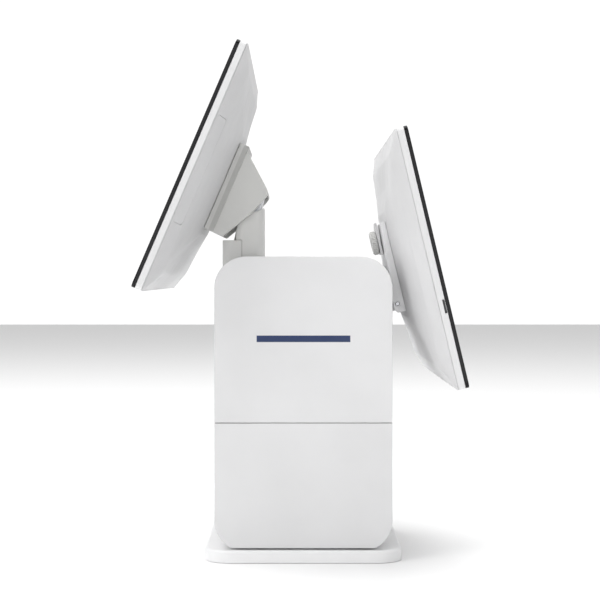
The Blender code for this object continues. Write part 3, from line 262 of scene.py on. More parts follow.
def circuitBoard():
    material, tree, shader = newMaterial("circuitBoard", 0.38, 0.0, {"Coat Weight": 0.2})
    cells = tree.nodes.new("ShaderNodeTexBrick")
    cells.inputs["Scale"].default_value = 180
    cells.inputs["Mortar Size"].default_value = 0.06
    cells.inputs["Color1"].default_value = (0.010, 0.110, 0.045, 1)
    cells.inputs["Color2"].default_value = (0.014, 0.150, 0.060, 1)
    cells.inputs["Mortar"].default_value = (0.050, 0.260, 0.110, 1)
    tree.links.new(objectCoords(tree, turn=(math.radians(90), 0, 0)), cells.inputs["Vector"])
    tree.links.new(cells.outputs["Color"], shader.inputs["Base Color"])
    addBump(tree, shader, cells.outputs["Fac"], 0.00004)
    return material


def rolledPaper():
    material, tree, shader = newMaterial("rolledPaper", 0.85)
    fibres = addNoise(tree, 900, 5, 0.7)
    tone = addRamp(tree, fibres, (0.80, 0.79, 0.76), (0.90, 0.89, 0.86))
    tree.links.new(tone, shader.inputs["Base Color"])
    addBump(tree, shader, fibres, 0.00003)
    return material


shellWhite = (0.700, 0.700, 0.705)
finishes = {
    "white_plastic": mouldedPlastic("whiteShell", shellWhite, 0.42),
    "grey_plastic": mouldedPlastic("greyShell", (0.545, 0.545, 0.530), 0.50),
    "dark_plastic": mouldedPlastic("darkShell", (0.035, 0.035, 0.038), 0.45),
    "lcd_module": mouldedPlastic("panelTray", (0.05, 0.05, 0.06), 0.35),
    "nylon_gear": mouldedPlastic("gearNylon", (0.76, 0.75, 0.69), 0.42, 0.00001, 1200),
    "black_glass": darkGlass("blackGlass", (0.004, 0.004, 0.005), (0.010, 0.010, 0.012), 0.06),
    "steel": brushedSteel("zincSteel", (0.60, 0.61, 0.63), 0.34),
    "aluminium": brushedSteel("finAluminium", (0.74, 0.75, 0.77), 0.30),
    "black_rubber": mouldedPlastic("footRubber", (0.022, 0.022, 0.023), 0.80, 0.00005, 1500, 0.10),
    "circuit_board": circuitBoard(),
    "paper": rolledPaper(),
}
activeGlass = darkGlass("activeGlass", (0.012, 0.013, 0.016), (0.017, 0.018, 0.022), 0.09)
markedWhite = markedPlastic("markedShell", shellWhite, 0.42)
# lighter copy of the white shell: painted light on the base and the customer's arm
paintedLightWhite = mouldedPlastic("paintedLightShell", (0.86, 0.86, 0.865), 0.40)
# darker copy of the white shell: painted shade on the operator's display back and its side cover
paintedShadeWhite = mouldedPlastic("paintedShadeShell", (0.630, 0.630, 0.635), 0.44)
# darker copy of the grey plastic: painted shade on the hinge wedge's slab
paintedShadeGrey = mouldedPlastic("paintedShadeSlabShell", (0.430, 0.430, 0.418), 0.50)
# lighter copy of the grey plastic: painted light on the neck and the thumb knob
paintedLightGrey = mouldedPlastic("paintedLightGreyShell", (0.66, 0.66, 0.645), 0.46)
paintedLightAndPrintFinish = {      # pieces that differ from their slot's usual finish: lighter copies as painted light, darker copies as painted shade, and the printed bar
    "base_cover": paintedLightWhite, "customer_arm": paintedLightWhite,
    "main_back_cover": paintedShadeWhite, "main_side_cover": paintedShadeWhite,
    "neck_column": paintedLightGrey, "neck_front_cover": paintedLightGrey, "thumb_knob": paintedLightGrey,
    "side_panel_right_upper": markedWhite,
}
for node, obj in frame["nodes"].items():
    obj.data.materials.clear()
    obj.data.materials.append(finishes[nodeSlot[node]])
print("materials ready:", len(finishes))


# outlines and solids
def arc(centre, radius, start, end, steps=fineSteps):
    angles = [math.radians(start + (end - start) * step / steps) for step in range(steps + 1)]
    return [(centre[0] + radius * math.cos(a), centre[1] + radius * math.sin(a)) for a in angles]


def roundedLoop(low, high, radius, steps=fineSteps):
    points = []
    corners = ((high[0], high[1], 0), (low[0], high[1], 90), (low[0], low[1], 180), (high[0], low[1], 270))
    for x, y, start in corners:
        centre = (x + radius * (1 if x == low[0] else -1), y + radius * (1 if y == low[1] else -1))
        points += arc(centre, radius, start, start + 90, steps)
    return points


def bend(start, corner, end, share):
    # point on the curve that leaves start towards the corner and arrives at end
    return start * (1 - share) ** 2 + corner * 2 * share * (1 - share) + end * share ** 2


def roundedCorners(points, radii, steps=8):
    # each corner of a closed outline becomes a curve that starts a radius before it
    smooth = []
    for index, (point, radius) in enumerate(zip(points, radii)):
        here = Vector(point)
        if radius == 0:
            smooth.append(tuple(here))
            continue
        before = Vector(points[index - 1]) - here
        after = Vector(points[(index + 1) % len(points)]) - here
        start = here + before.normalized() * min(radius, before.length * 0.48)
        end = here + after.normalized() * min(radius, after.length * 0.48)
        for step in range(steps + 1):
            smooth.append(tuple(bend(start, here, end, step / steps)))
    return smooth


def lift(point, height, plane):
    if plane == "xy":
        return (point[0], point[1], height)
    if plane == "xz":
        return (point[0], height, point[1])
    return (height, point[0], point[1])


def solid(name, bm, place=None):
    if place:
        bm.transform(place)
    bmesh.ops.recalc_face_normals(bm, faces=bm.faces)
    mesh = bpy.data.meshes.new(name)
    bm.to_mesh(mesh)
    bm.free()
    obj = bpy.data.objects.new(name, mesh)
    scene.collection.objects.link(obj)
    return obj


def loft(name, rows, place=None, hollow=False):
    # loops of the same length joined in order, then capped, or closed on themselves when hollow
    bm = bmesh.new()
    loops = [[bm.verts.new(p) for p in row] for row in rows]
    pairs = list(zip(loops[:-1], loops[1:])) + ([(loops[-1], loops[0])] if hollow else [])
    count = len(loops[0])
    for upper, lower in pairs:
        for i in range(count):
            j = (i + 1) % count
            bm.faces.new((upper[i], upper[j], lower[j], lower[i]))
    if not hollow:
        bm.faces.new(loops[0])
        bm.faces.new(loops[-1])
    return solid(name, bm, place)


def prism(name, points, plane, low, high, place=None):
    return loft(name, [[lift(p, height, plane) for p in points] for height in (low, high)], place)


def block(name, low, high, place=None):
    outline = [low[:2], (high[0], low[1]), high[:2], (low[0], high[1])]
    return prism(name, outline, "xy", low[2], high[2], place)


def rod(name, centre, radius, plane, low, high, place=None, steps=10):
    return prism(name, arc(centre, radius, 0, 360, 4 * steps)[:-1], plane, low, high, place)


def baked(obj):
    graph = bpy.context.evaluated_depsgraph_get()
    mesh = bpy.data.meshes.new_from_object(obj.evaluated_get(graph), depsgraph=graph)
    obj.modifiers.clear()
    obj.data = mesh
    return obj


def carve(obj, *tools, operation="DIFFERENCE"):
    for tool in tools:
        modifier = obj.modifiers.new("carve", "BOOLEAN")
        modifier.operation = operation
        modifier.solver = "EXACT"
        modifier.object = tool
    baked(obj)
    for tool in tools:
        bpy.data.objects.remove(tool, do_unlink=True)
    return obj


def smoothShade(obj, angle):
    # big flat faces keep their own direction, so that only the rounds are shaded as curves
    obj.data.shade_smooth()
    obj.data.set_sharp_from_angle(angle=math.radians(angle))
    weighted = obj.modifiers.new("normals", "WEIGHTED_NORMAL")
    weighted.keep_sharp = True
    return baked(obj)


def soften(obj, width, segments=3, limit=34):
    bevel = obj.modifiers.new("edge", "BEVEL")
    bevel.width = width
    bevel.segments = segments
    bevel.limit_method = "ANGLE"
    bevel.angle_limit = math.radians(limit)
    baked(obj)
    return smoothShade(obj, 52)


def cleanCopy(node):
    # a copy of a CAD node, merged and with its flat faces whole again
    obj = bpy.data.objects.new(f"{node}_fine", frame["nodes"][node].data.copy())
    scene.collection.objects.link(obj)
    bm = bmesh.new()
    bm.from_mesh(obj.data)
    bmesh.ops.remove_doubles(bm, verts=bm.verts, dist=0.000002)
    bmesh.ops.dissolve_limit(bm, angle_limit=math.radians(0.6), verts=bm.verts, edges=bm.edges)
    bmesh.ops.recalc_face_normals(bm, faces=bm.faces)
    bm.to_mesh(obj.data)
    bm.free()
    return obj


def settle(obj, body, slot, *nodes, material=None):
    if material or not obj.data.materials or not obj.data.materials[0]:
        obj.data.materials.clear()
        obj.data.materials.append(material or finishes[slot])
    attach(obj, body)
    if nodes:
        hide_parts(*nodes)
    return obj


def standFor(obj, node):
    return settle(obj, nodeBody[node], nodeSlot[node], node, material=paintedLightAndPrintFinish.get(node))


# what repeats is grown by node trees: their last nodes make the copies real and paint them
def newTree(name, inputs):
    tree = bpy.data.node_groups.new(name, "GeometryNodeTree")
    tree.interface.new_socket("Geometry", in_out="OUTPUT", socket_type="NodeSocketGeometry")
    tree.interface.new_socket("Geometry", in_out="INPUT", socket_type="NodeSocketGeometry")
    for label, kind in inputs:
        tree.interface.new_socket(label, in_out="INPUT", socket_type=f"NodeSocket{kind}")
    return tree, tree.nodes.new("NodeGroupInput")


def closeTree(tree, start, geometry):
    real = tree.nodes.new("GeometryNodeRealizeInstances")
    paint = tree.nodes.new("GeometryNodeSetMaterial")
    end = tree.nodes.new("NodeGroupOutput")
    tree.links.new(geometry, real.inputs["Geometry"])
    tree.links.new(real.outputs["Geometry"], paint.inputs["Geometry"])
    tree.links.new(start.outputs["Finish"], paint.inputs["Material"])
    tree.links.new(paint.outputs["Geometry"], end.inputs["Geometry"])
    return tree


def piecesOn(tree, start, points, rotation=None, scale=None):
    source = tree.nodes.new("GeometryNodeObjectInfo")
    spots = tree.nodes.new("GeometryNodeInstanceOnPoints")
    tree.links.new(start.outputs["Piece"], source.inputs["Object"])
    tree.links.new(points, spots.inputs["Points"])
    tree.links.new(source.outputs["Geometry"], spots.inputs["Instance"])
    if rotation:
        tree.links.new(rotation, spots.inputs["Rotation"])
    if scale:
        tree.links.new(scale, spots.inputs["Scale"])
    return spots.outputs["Instances"]


def facingTree():
    # one piece on every point, turned to the point's own direction
    tree, start = newTree("piecesFacing", (("Piece", "Object"), ("Finish", "Material")))
    facing = tree.nodes.new("GeometryNodeInputNamedAttribute")
    facing.data_type = "FLOAT_VECTOR"
    facing.inputs["Name"].default_value = "facing"
    turn = tree.nodes.new("FunctionNodeAlignRotationToVector")
    turn.axis = "Z"
    tree.links.new(facing.outputs["Attribute"], turn.inputs["Vector"])
    pieces = piecesOn(tree, start, start.outputs["Geometry"], turn.outputs["Rotation"])
    return closeTree(tree, start, pieces)


def rowTree():
    # one piece repeated in a straight row
    inputs = (("Count", "Int"), ("Start", "Vector"), ("Step", "Vector"),
              ("Piece", "Object"), ("Finish", "Material"))
    tree, start = newTree("piecesInRow", inputs)
    line = tree.nodes.new("GeometryNodeMeshLine")
    for label, socket in (("Count", "Count"), ("Start", "Start Location"), ("Step", "Offset")):
        tree.links.new(start.outputs[label], line.inputs[socket])
    return closeTree(tree, start, piecesOn(tree, start, line.outputs["Mesh"]))


def rimTree():
    # one piece repeated round a circle, its own +X turned outwards
    inputs = (("Count", "Int"), ("Radius", "Float"), ("Piece", "Object"), ("Finish", "Material"))
    tree, start = newTree("piecesRoundRim", inputs)
    circle = tree.nodes.new("GeometryNodeMeshCircle")
    tree.links.new(start.outputs["Count"], circle.inputs["Vertices"])
    tree.links.new(start.outputs["Radius"], circle.inputs["Radius"])
    spot = tree.nodes.new("GeometryNodeInputPosition")
    turn = tree.nodes.new("FunctionNodeAlignRotationToVector")
    turn.axis = "X"
    turn.pivot_axis = "Z"
    tree.links.new(spot.outputs["Position"], turn.inputs["Vector"])
    return closeTree(tree, start, piecesOn(tree, start, circle.outputs["Mesh"], turn.outputs["Rotation"]))


def scatterTree():
    # one piece on every point of a grid, in sizes that differ
    inputs = (("Width", "Float"), ("Height", "Float"), ("Columns", "Int"), ("Rows", "Int"),
              ("Smallest", "Vector"), ("Largest", "Vector"), ("Seed", "Int"),
              ("Piece", "Object"), ("Finish", "Material"))
    tree, start = newTree("piecesScattered", inputs)
    grid = tree.nodes.new("GeometryNodeMeshGrid")
    sockets = (("Width", "Size X"), ("Height", "Size Y"), ("Columns", "Vertices X"), ("Rows", "Vertices Y"))
    for label, socket in sockets:
        tree.links.new(start.outputs[label], grid.inputs[socket])
    size = tree.nodes.new("FunctionNodeRandomValue")
    size.data_type = "FLOAT_VECTOR"
    tree.links.new(start.outputs["Smallest"], size.inputs["Min"])
    tree.links.new(start.outputs["Largest"], size.inputs["Max"])
    tree.links.new(start.outputs["Seed"], size.inputs["Seed"])
    return closeTree(tree, start, piecesOn(tree, start, grid.outputs["Mesh"], None, size.outputs["Value"]))


def grow(name, tree, values, points=()):
    mesh = bpy.data.meshes.new(name)
    mesh.from_pydata([spot for spot, facing in points], [], [])
    facing = mesh.attributes.new("facing", "FLOAT_VECTOR", "POINT")
    for item, (spot, direction) in zip(facing.data, points):
        item.vector = direction
    obj = bpy.data.objects.new(name, mesh)
    scene.collection.objects.link(obj)
    modifier = obj.modifiers.new(tree.name, "NODES")
    modifier.node_group = tree
    for item in tree.interface.items_tree:
        if item.in_out == "INPUT" and item.name in values:
            modifier[item.identifier] = values[item.name]
    baked(obj)
    bpy.data.objects.remove(values["Piece"], do_unlink=True)
    return obj


def moved(obj, matrix):
    obj.data.transform(matrix)
    return obj


trees = {"facing": facingTree(), "row": rowTree(), "rim": rimTree(), "scatter": scatterTree()}

screwShape = {
    "rows": ((0.0000, -0.0004), (0.0022, -0.0004), (0.0023, 0.0003), (0.0020, 0.0007), (0.0011, 0.0010)),
    "sides": 16, "tip": 0.0001, "slot": (0.00028, 0.0014), "deep": 0.0004, "clear": 0.002,
}


def screwPiece(scale=1.0):
    rows = []
    for radius, height in screwShape["rows"]:
        ring = arc((0, 0), max(radius, screwShape["tip"]), 0, 360, screwShape["sides"])[:-1]
        rows.append([(*p, height) for p in ring])
    screw = loft("screwShape", rows)
    thin, long = screwShape["slot"]
    for x, y in ((thin, long), (long, thin)):
        carve(screw, block("slotTool", (-x, -y, screwShape["deep"]), (x, y, screwShape["clear"])))
    return moved(screw, Matrix.Scale(scale, 4))


def addScrews(name, body, points, scale=1.0):
    values = {"Piece": screwPiece(scale), "Finish": finishes["steel"]}
    screws = grow(name, trees["facing"], values, points)
    return settle(screws, body, "steel", material=finishes["steel"])


print("tools ready")

# the body's shell
panelLow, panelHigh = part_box("side_panel_right_upper")
lowerLow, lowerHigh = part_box("side_panel_right_lower")
baseLow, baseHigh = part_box("base_cover")
middleX = (panelLow.x + panelHigh.x) / 2
halfDepth = (panelHigh.x - panelLow.x) / 2
bodyTop = panelHigh.z
bodyFoot = lowerLow.z
bodyPlace = Matrix.Translation((middleX, 0, 0))
shell = {
    "round": 0.030, "sink": 0.0033, "wall": 0.0025, "belt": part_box("top_cover")[0].z,
    "panelEdge": 0.0005, "coverEdge": 0.0003, "neckGap": 0.0006, "neckRound": 0.0085, "neckReach": 0.01,
    "socketGap": 0.0004, "socketRound": 0.0008, "socketReach": 0.02,
}
cornerX = halfDepth - shell["round"]
cornerTop = bodyTop - shell["round"]
cornerFoot = bodyFoot - shell["sink"] + shell["round"]
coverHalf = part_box("top_cover")[1].y


def topArcs(radius):
    return arc((-cornerX, cornerTop), radius, 180, 90) + arc((cornerX, cornerTop), radius, 90, 0)


def footArc(radius, side):
    reach = math.degrees(math.asin((cornerFoot - bodyFoot) / radius))
    if side < 0:
        return arc((-cornerX, cornerFoot), radius, 180, 180 + reach)
    return arc((cornerX, cornerFoot), radius, 0, -reach)


def buildSidePanels():
    upper = [(-halfDepth, panelLow.z)] + topArcs(shell["round"]) + [(halfDepth, panelLow.z)]
    lower = [(halfDepth, lowerHigh.z)] + footArc(shell["round"], 1) + footArc(shell["round"], -1)[::-1]
    lower += [(-halfDepth, lowerHigh.z)]
    for name in ("left_upper", "left_lower", "right_upper", "right_lower"):
        node = f"side_panel_{name}"
        low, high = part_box(node)
        outline = upper if "upper" in name else lower
        panel = prism(f"{node}_fine", outline, "xz", low.y, high.y, bodyPlace)
        standFor(soften(panel, shell["panelEdge"], 4), node)


def buildTopCover():
    wall = shell["wall"]
    outline = [(-halfDepth, shell["belt"])] + topArcs(shell["round"])
    outline += [(halfDepth, shell["belt"]), (halfDepth - wall, shell["belt"])]
    outline += topArcs(shell["round"] - wall)[::-1] + [(-halfDepth + wall, shell["belt"])]
    top = prism("top_cover_fine", outline, "xz", -coverHalf, coverHalf, bodyPlace)
    columnLow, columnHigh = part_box("neck_column")
    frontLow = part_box("neck_front_cover")[0]
    margin = shell["neckGap"]
    low = (frontLow.x - margin, columnLow.y - margin)
    high = (columnHigh.x + margin, columnHigh.y + margin)
    hole = roundedLoop(low, high, shell["neckRound"])
    carve(top, prism("neckHole", hole, "xy", shell["belt"], bodyTop + shell["neckReach"]))
    standFor(soften(top, shell["coverEdge"]), "top_cover")


socketNodes = ("lan_port", "drawer_port", "usb_port_pair", "dc_inlet")


def buildLowerCovers():
    wall = shell["wall"]
    for side, node in ((-1, "front_lower_cover"), (1, "rear_lower_cover")):
        outline = [(side * halfDepth, lowerHigh.z)] + footArc(shell["round"], side)
        outline += footArc(shell["round"] - wall, side)[::-1] + [(side * (halfDepth - wall), lowerHigh.z)]
        cover = prism(f"{node}_fine", outline, "xz", -coverHalf, coverHalf, bodyPlace)
        if side > 0:
            tools = []
            for socket in socketNodes:
                low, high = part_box(socket)
                gap = shell["socketGap"]
                outer = ((low.y - gap, low.z - gap), (high.y + gap, high.z + gap))
                hole = roundedLoop(*outer, shell["socketRound"], 4)
                reach = shell["socketReach"]
                tools.append(prism("socketHole", hole, "yz", high.x - reach, high.x + reach))
            carve(cover, *tools)
        standFor(soften(cover, shell["coverEdge"]), node)


vents = {
    "rows": 7, "first": 0.0182, "step": 0.009, "height": 0.003, "half": 0.045, "seam": 0.1318,
    "endRound": 0.49, "through": 0.005,
}


def buildRearUpperCover():
    # the slots are one cutter repeated in a row up the cover
    low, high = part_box("rear_upper_cover")
    cover = block("rear_upper_cover_fine", tuple(low), tuple(high))
    ends = roundedLoop((-vents["half"], 0), (vents["half"], vents["height"]),
                       vents["height"] * vents["endRound"], 6)
    slot = prism("ventTool", ends, "yz", low.x - vents["through"], high.x + vents["through"])
    values = {
        "Count": vents["rows"], "Start": (0, 0, vents["seam"] + vents["first"]),
        "Step": (0, 0, vents["step"]),
        "Piece": slot, "Finish": finishes["white_plastic"],
    }
    carve(cover, grow("ventTools", trees["row"], values))
    standFor(soften(cover, 0.0003, 2), "rear_upper_cover")


base = {
    "round": 0.025, "fillet": 0.0024, "drop": 0.0005, "footEdge": 0.0006, "footGap": 0.0003,
    "padProfile": ((0.0012, 0), (0.0003, 0.0004), (0, 0.0012)),     # inset, height
    "screwIn": 0.045, "screwAcross": 0.060, "screwRise": 0.0004,
}


def buildBase():
    low, high = baseLow, baseHigh
    foot = low.z - base["drop"]     # the skirt's lower edge, just clear of the floor
    edge = base["footEdge"]
    profile = [(edge, foot), (edge / 3, foot + edge / 3), (0, foot + edge)]
    fillet = base["fillet"]
    for step in range(7):
        angle = math.radians(15 * step)
        profile.append((fillet - fillet * math.cos(angle), high.z - fillet + fillet * math.sin(angle)))
    rows = []
    for inset, height in profile:
        corners = ((low.x + inset, low.y + inset), (high.x - inset, high.y - inset))
        rows.append([(*p, height) for p in roundedLoop(*corners, base["round"] - inset)])
    plinth = loft("base_cover_fine", rows)
    tools = []
    for node in ("foot_front_left", "foot_front_right", "foot_rear_left", "foot_rear_right"):
        footLow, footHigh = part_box(node)
        centre = ((footLow.x + footHigh.x) / 2, (footLow.y + footHigh.y) / 2)
        radius = (footHigh.x - footLow.x) / 2
        gap = base["footGap"]
        tools.append(rod("footHole", centre, radius + gap, "xy", -0.001, footHigh.z + gap))
        rings = [[(*p, height) for p in arc(centre, radius - inset, 0, 360, 40)[:-1]]
                 for inset, height in (*base["padProfile"], (0, footHigh.z))]
        standFor(soften(loft(f"{node}_fine", rings), 0.0001, 1), node)
    carve(plinth, *tools)
    smoothShade(plinth, 40)
    standFor(plinth, "base_cover")
    screws = []
    for x in (low.x + base["screwIn"], high.x - base["screwIn"]):
        for y in (-base["screwAcross"], base["screwAcross"]):
            screws.append(((x, y, low.z + base["screwRise"]), (0, 0, -1)))
    addScrews("base_screws", "terminal_body", screws)


buildSidePanels()
buildTopCover()
buildLowerCovers()
buildRearUpperCover()
buildBase()
print("body shell ready")

# displays: depth behind the glass, across, and down from the top edge
display = {
    "width": 0.380, "height": 0.240, "round": 0.005, "glass": 0.0034, "gap": 0.0003,
    "frame": 0.0063, "rim": 0.0130, "rimRound": 0.003, "frameEdge": 0.0008,
    "glassEdge": 0.0007, "active": (0.0165, 0.0145, 0.001), "activeDepth": 0.00002,
    # outlines of the back: rise, inset at the sides, inset at top and foot
    "steps": ((0.0000, 0.000, 0.000), (0.0085, 0.032, 0.020),
              (0.0125, 0.060, 0.045), (0.0195, 0.130, 0.068)),
    "rounds": (0.005, 0.010, 0.014, 0.012), "crease": (0.004, 0.007), "wall": 0.0024,
    "backEdge": 0.0010, "crestEdge": (0.0012, 0.0002, 0.0016),
    # leans in degrees, and the tilt axes: depth past the crest, down from the top edge
    "mainLean": 23.2, "customerLean": -13.4, "mainAxis": (0.0322, 0.1180), "customerAxis": (0.0068, 0.1573),
}
frameFront = display["glass"] + display["gap"]
backFront = frameFront + display["frame"] + display["gap"]
backCrest = backFront + display["steps"][-1][0]


def displayPlace(joint, turn, axis):
    depth, down = axis
    origin = Vector(joints[joint]["pos_m"]) - turn @ Vector((backCrest + depth, 0, -down))
    return Matrix.Translation(origin) @ turn


mainTurn = Matrix.Rotation(math.radians(display["mainLean"]), 4, "Y")
customerTurn = Matrix.Rotation(math.radians(display["customerLean"]), 4, "Y")
customerTurn = customerTurn @ Matrix.Rotation(math.pi, 4, "Z")
mainPlace = displayPlace("main_tilt", mainTurn, display["mainAxis"])
customerPlace = displayPlace("customer_tilt", customerTurn, display["customerAxis"])


def screenLoop(side, top, radius, steps=8):
    low = (-display["width"] / 2 + side, -display["height"] + top)
    high = (display["width"] / 2 - side, -top)
    return roundedLoop(low, high, radius, steps)


def buildGlass(prefix, where):
    # the front's border stays black, the active area inside it is a second material
    edge = display["glassEdge"]
    rows = []
    for inset, depth in ((0, display["glass"]), (0, edge), (edge * 0.3, edge * 0.3), (edge, 0)):
        rows.append([(depth, *p) for p in screenLoop(inset, inset, display["round"] - inset * 0.5)])
    rows.append([(display["activeDepth"], *p) for p in screenLoop(*display["active"])])
    glass = loft(f"{prefix}_touch_glass_fine", rows, where)
    glass.data.materials.append(finishes["black_glass"])
    glass.data.materials.append(activeGlass)
    normal = where.to_3x3() @ Vector((-1, 0, 0))
    front = [face for face in glass.data.polygons
             if face.normal.dot(normal) > 0.99 and len(face.vertices) > 4]
    front[-1].material_index = 1
    smoothShade(glass, 30)
    standFor(glass, f"{prefix}_touch_glass")


def buildFrame(prefix, where, slot):
    rim = display["rim"]
    low, high = frameFront, frameFront + display["frame"]
    outer = screenLoop(0, 0, display["round"])
    inner = screenLoop(rim, rim, display["rimRound"])
    section = ((outer, low), (outer, high), (inner, high), (inner, low))
    rows = [[(depth, *p) for p in loop] for loop, depth in section]
    rimPiece = loft(f"{prefix}_frame_fine", rows, where, hollow=True)
    carve(rimPiece, block("keyHole", *slot, where))
    standFor(soften(rimPiece, display["frameEdge"], 3), f"{prefix}_frame")


def backRows(inside):
    # the back's outlines from the rim to the crest, with its creases rounded
    corners = [Vector((*step, radius)) for step, radius in zip(display["steps"], display["rounds"])]
    if inside:
        profile = [corners[0]]
    else:
        edge = display["backEdge"]
        slope = (corners[1] - corners[0]).normalized()
        small = edge / 10
        profile = [Vector((0, 0, 0, display["round"])), Vector((edge / 2, small, small, display["round"])),
                   corners[0] + slope * edge * 2]
    for before, here, after, reach in zip(corners, corners[1:], corners[2:], display["crease"]):
        start = here + (before - here).normalized() * reach
        end = here + (after - here).normalized() * reach
        profile += [bend(start, here, end, step / 6) for step in range(7)]
    crest = corners[-1]
    if inside:
        profile.append(crest)
    else:
        slope = (corners[-2] - crest).normalized()
        along, drop, flat = display["crestEdge"]
        profile += [crest + slope * along * 2.5, crest + slope * along + Vector((drop, 0, 0, 0)),
                    crest + Vector((0, flat, flat, 0))]
    rows = []
    for rise, side, top, radius in profile:
        if inside:
            shrink = display["wall"] if rise == 0 else display["wall"] / 2
            rise -= 0 if rise == 0 else display["wall"]
            side += shrink
            top += shrink
        rows.append([(backFront + min(rise, crest[0]), *p) for p in screenLoop(side, top, radius)])
    return rows


backScrews = {"across": (-0.140, 0.140), "down": 0.226, "hole": 0.0030, "deep": 0.0012, "size": 0.9}


def buildBack(prefix, where, body, sideCover):
    rows = backRows(False)[::-1] + backRows(True)
    back = loft(f"{prefix}_back_cover_fine", rows, where)
    tools = [sideCover] if sideCover else []
    rise, run = display["steps"][1][0], display["steps"][1][2]
    slope = math.atan2(rise, run)
    screws = []
    for across in backScrews["across"]:
        down = backScrews["down"]
        depth = backFront + (display["height"] - down) * rise / run
        outward = Vector((math.cos(slope), 0, -math.sin(slope)))
        spot = Vector((depth, across, -down))
        turn = outward.to_track_quat("Z", "Y").to_matrix().to_4x4()
        tool = rod("screwHole", (0, 0), backScrews["hole"], "xy", -backScrews["deep"], 0.004,
                   where @ Matrix.Translation(spot) @ turn, 6)
        tools.append(tool)
        seat = spot - outward * backScrews["deep"]
        screws.append((where @ seat, where.to_3x3() @ outward))
    carve(back, *tools)
    smoothShade(back, 28)
    standFor(back, f"{prefix}_back_cover")
    addScrews(f"{prefix}_back_screws", body, screws, backScrews["size"])


sideCover = {
    "top": 0.0685, "length": 0.1034, "width": 0.0255, "thick": 0.0008, "shift": 0.0010, "seam": 0.0003,
    "round": 0.004, "above": 0.004,
}


def sideCoverPlate(name, margin, low, high):
    rise, run = display["steps"][1][0], display["steps"][1][1]
    down = sideCover["top"] + sideCover["length"] / 2
    middle = (backFront + rise / 2, -display["width"] / 2 + run / 2, -down)
    turn = Matrix.Translation(middle) @ Matrix.Rotation(-math.atan2(rise, run), 4, "Z")
    halfWide = sideCover["width"] / 2 + margin
    halfLong = sideCover["length"] / 2 + margin
    shift = sideCover["shift"]
    loop = roundedLoop((shift - halfWide, -halfLong), (shift + halfWide, halfLong), sideCover["round"], 8)
    return prism(name, loop, "yz", low, high, mainPlace @ turn)


# the keys' slots in the frames; each key's face stands proud of its edge, or is sunk where that is below 0
keys = {
    "gap": 0.0003, "travel": 0.0020,
    "power": {
        "depth": 0.0016, "thick": 0.0030, "across": 0.1340, "width": 0.0120, "height": 0.0054,
        "proud": 0.0004, "past": 0.0026,
    },
    "side": {
        "depth": 0.0006, "thick": 0.0014, "down": 0.1645, "width": 0.0049, "height": 0.0120,
        "proud": -0.0001, "past": 0.0021,
    },
}


def powerSlot():
    key, gap = keys["power"], keys["gap"]
    edge = -display["height"] - key["proud"]
    half = key["width"] / 2 + gap
    low = (frameFront + key["depth"] - gap, key["across"] - half, edge - key["past"])
    high = (frameFront + key["depth"] + key["thick"] + gap, key["across"] + half,
            edge + key["height"] + keys["travel"])
    return low, high


def sideSlot():
    key, gap = keys["side"], keys["gap"]
    edge = display["width"] / 2 + key["proud"]
    half = key["height"] / 2 + gap
    low = (frameFront + key["depth"] - gap, edge - key["width"] - keys["travel"], -key["down"] - half)
    high = (frameFront + key["depth"] + key["thick"] + gap, edge + key["past"], -key["down"] + half)
    return low, high


for prefix, where in (("main", mainPlace), ("customer", customerPlace)):
    buildGlass(prefix, where)
buildFrame("main", mainPlace, powerSlot())
buildFrame("customer", customerPlace, sideSlot())
pocket = sideCoverPlate("sideCoverTool", sideCover["seam"], -sideCover["thick"] - display["gap"],
                        sideCover["above"])
buildBack("main", mainPlace, "main_display", pocket)
buildBack("customer", customerPlace, "customer_display", None)
plate = sideCoverPlate("main_side_cover_fine", 0, -sideCover["thick"], 0)
standFor(soften(plate, 0.0002, 2), "main_side_cover")
print("displays ready")

# the wedge behind the operator's display
wedge = {
    "half": 0.052, "slabFront": 0.0497, "wedgeIn": 0.0012, "wall": 0.0025, "top": 0.0754, "foot": 0.1658,
    "slab": 0.0100, "lip": 0.0085, "neckSlot": 0.037, "slabEdge": 0.0011, "wedgeEdge": 0.0022,
    "radii": (0, 0, 0.0010, 0, 0, 0.0060, 0, 0.0015), "slabRound": 0.0014,
    # hollow's corners: which point of the side, and how many walls in from it
    "hollow": ((4, -0.9, 1.3), (3, -1.0, 0.5), (1, -1.3, 0.0), (0, -0.6, -1.0)),
    "side": ((0.0103, 0.0808), (0.0453, 0.1090), (0.0437, 0.1161), (0.0373, 0.1348), (0.0204, 0.1665)),
}


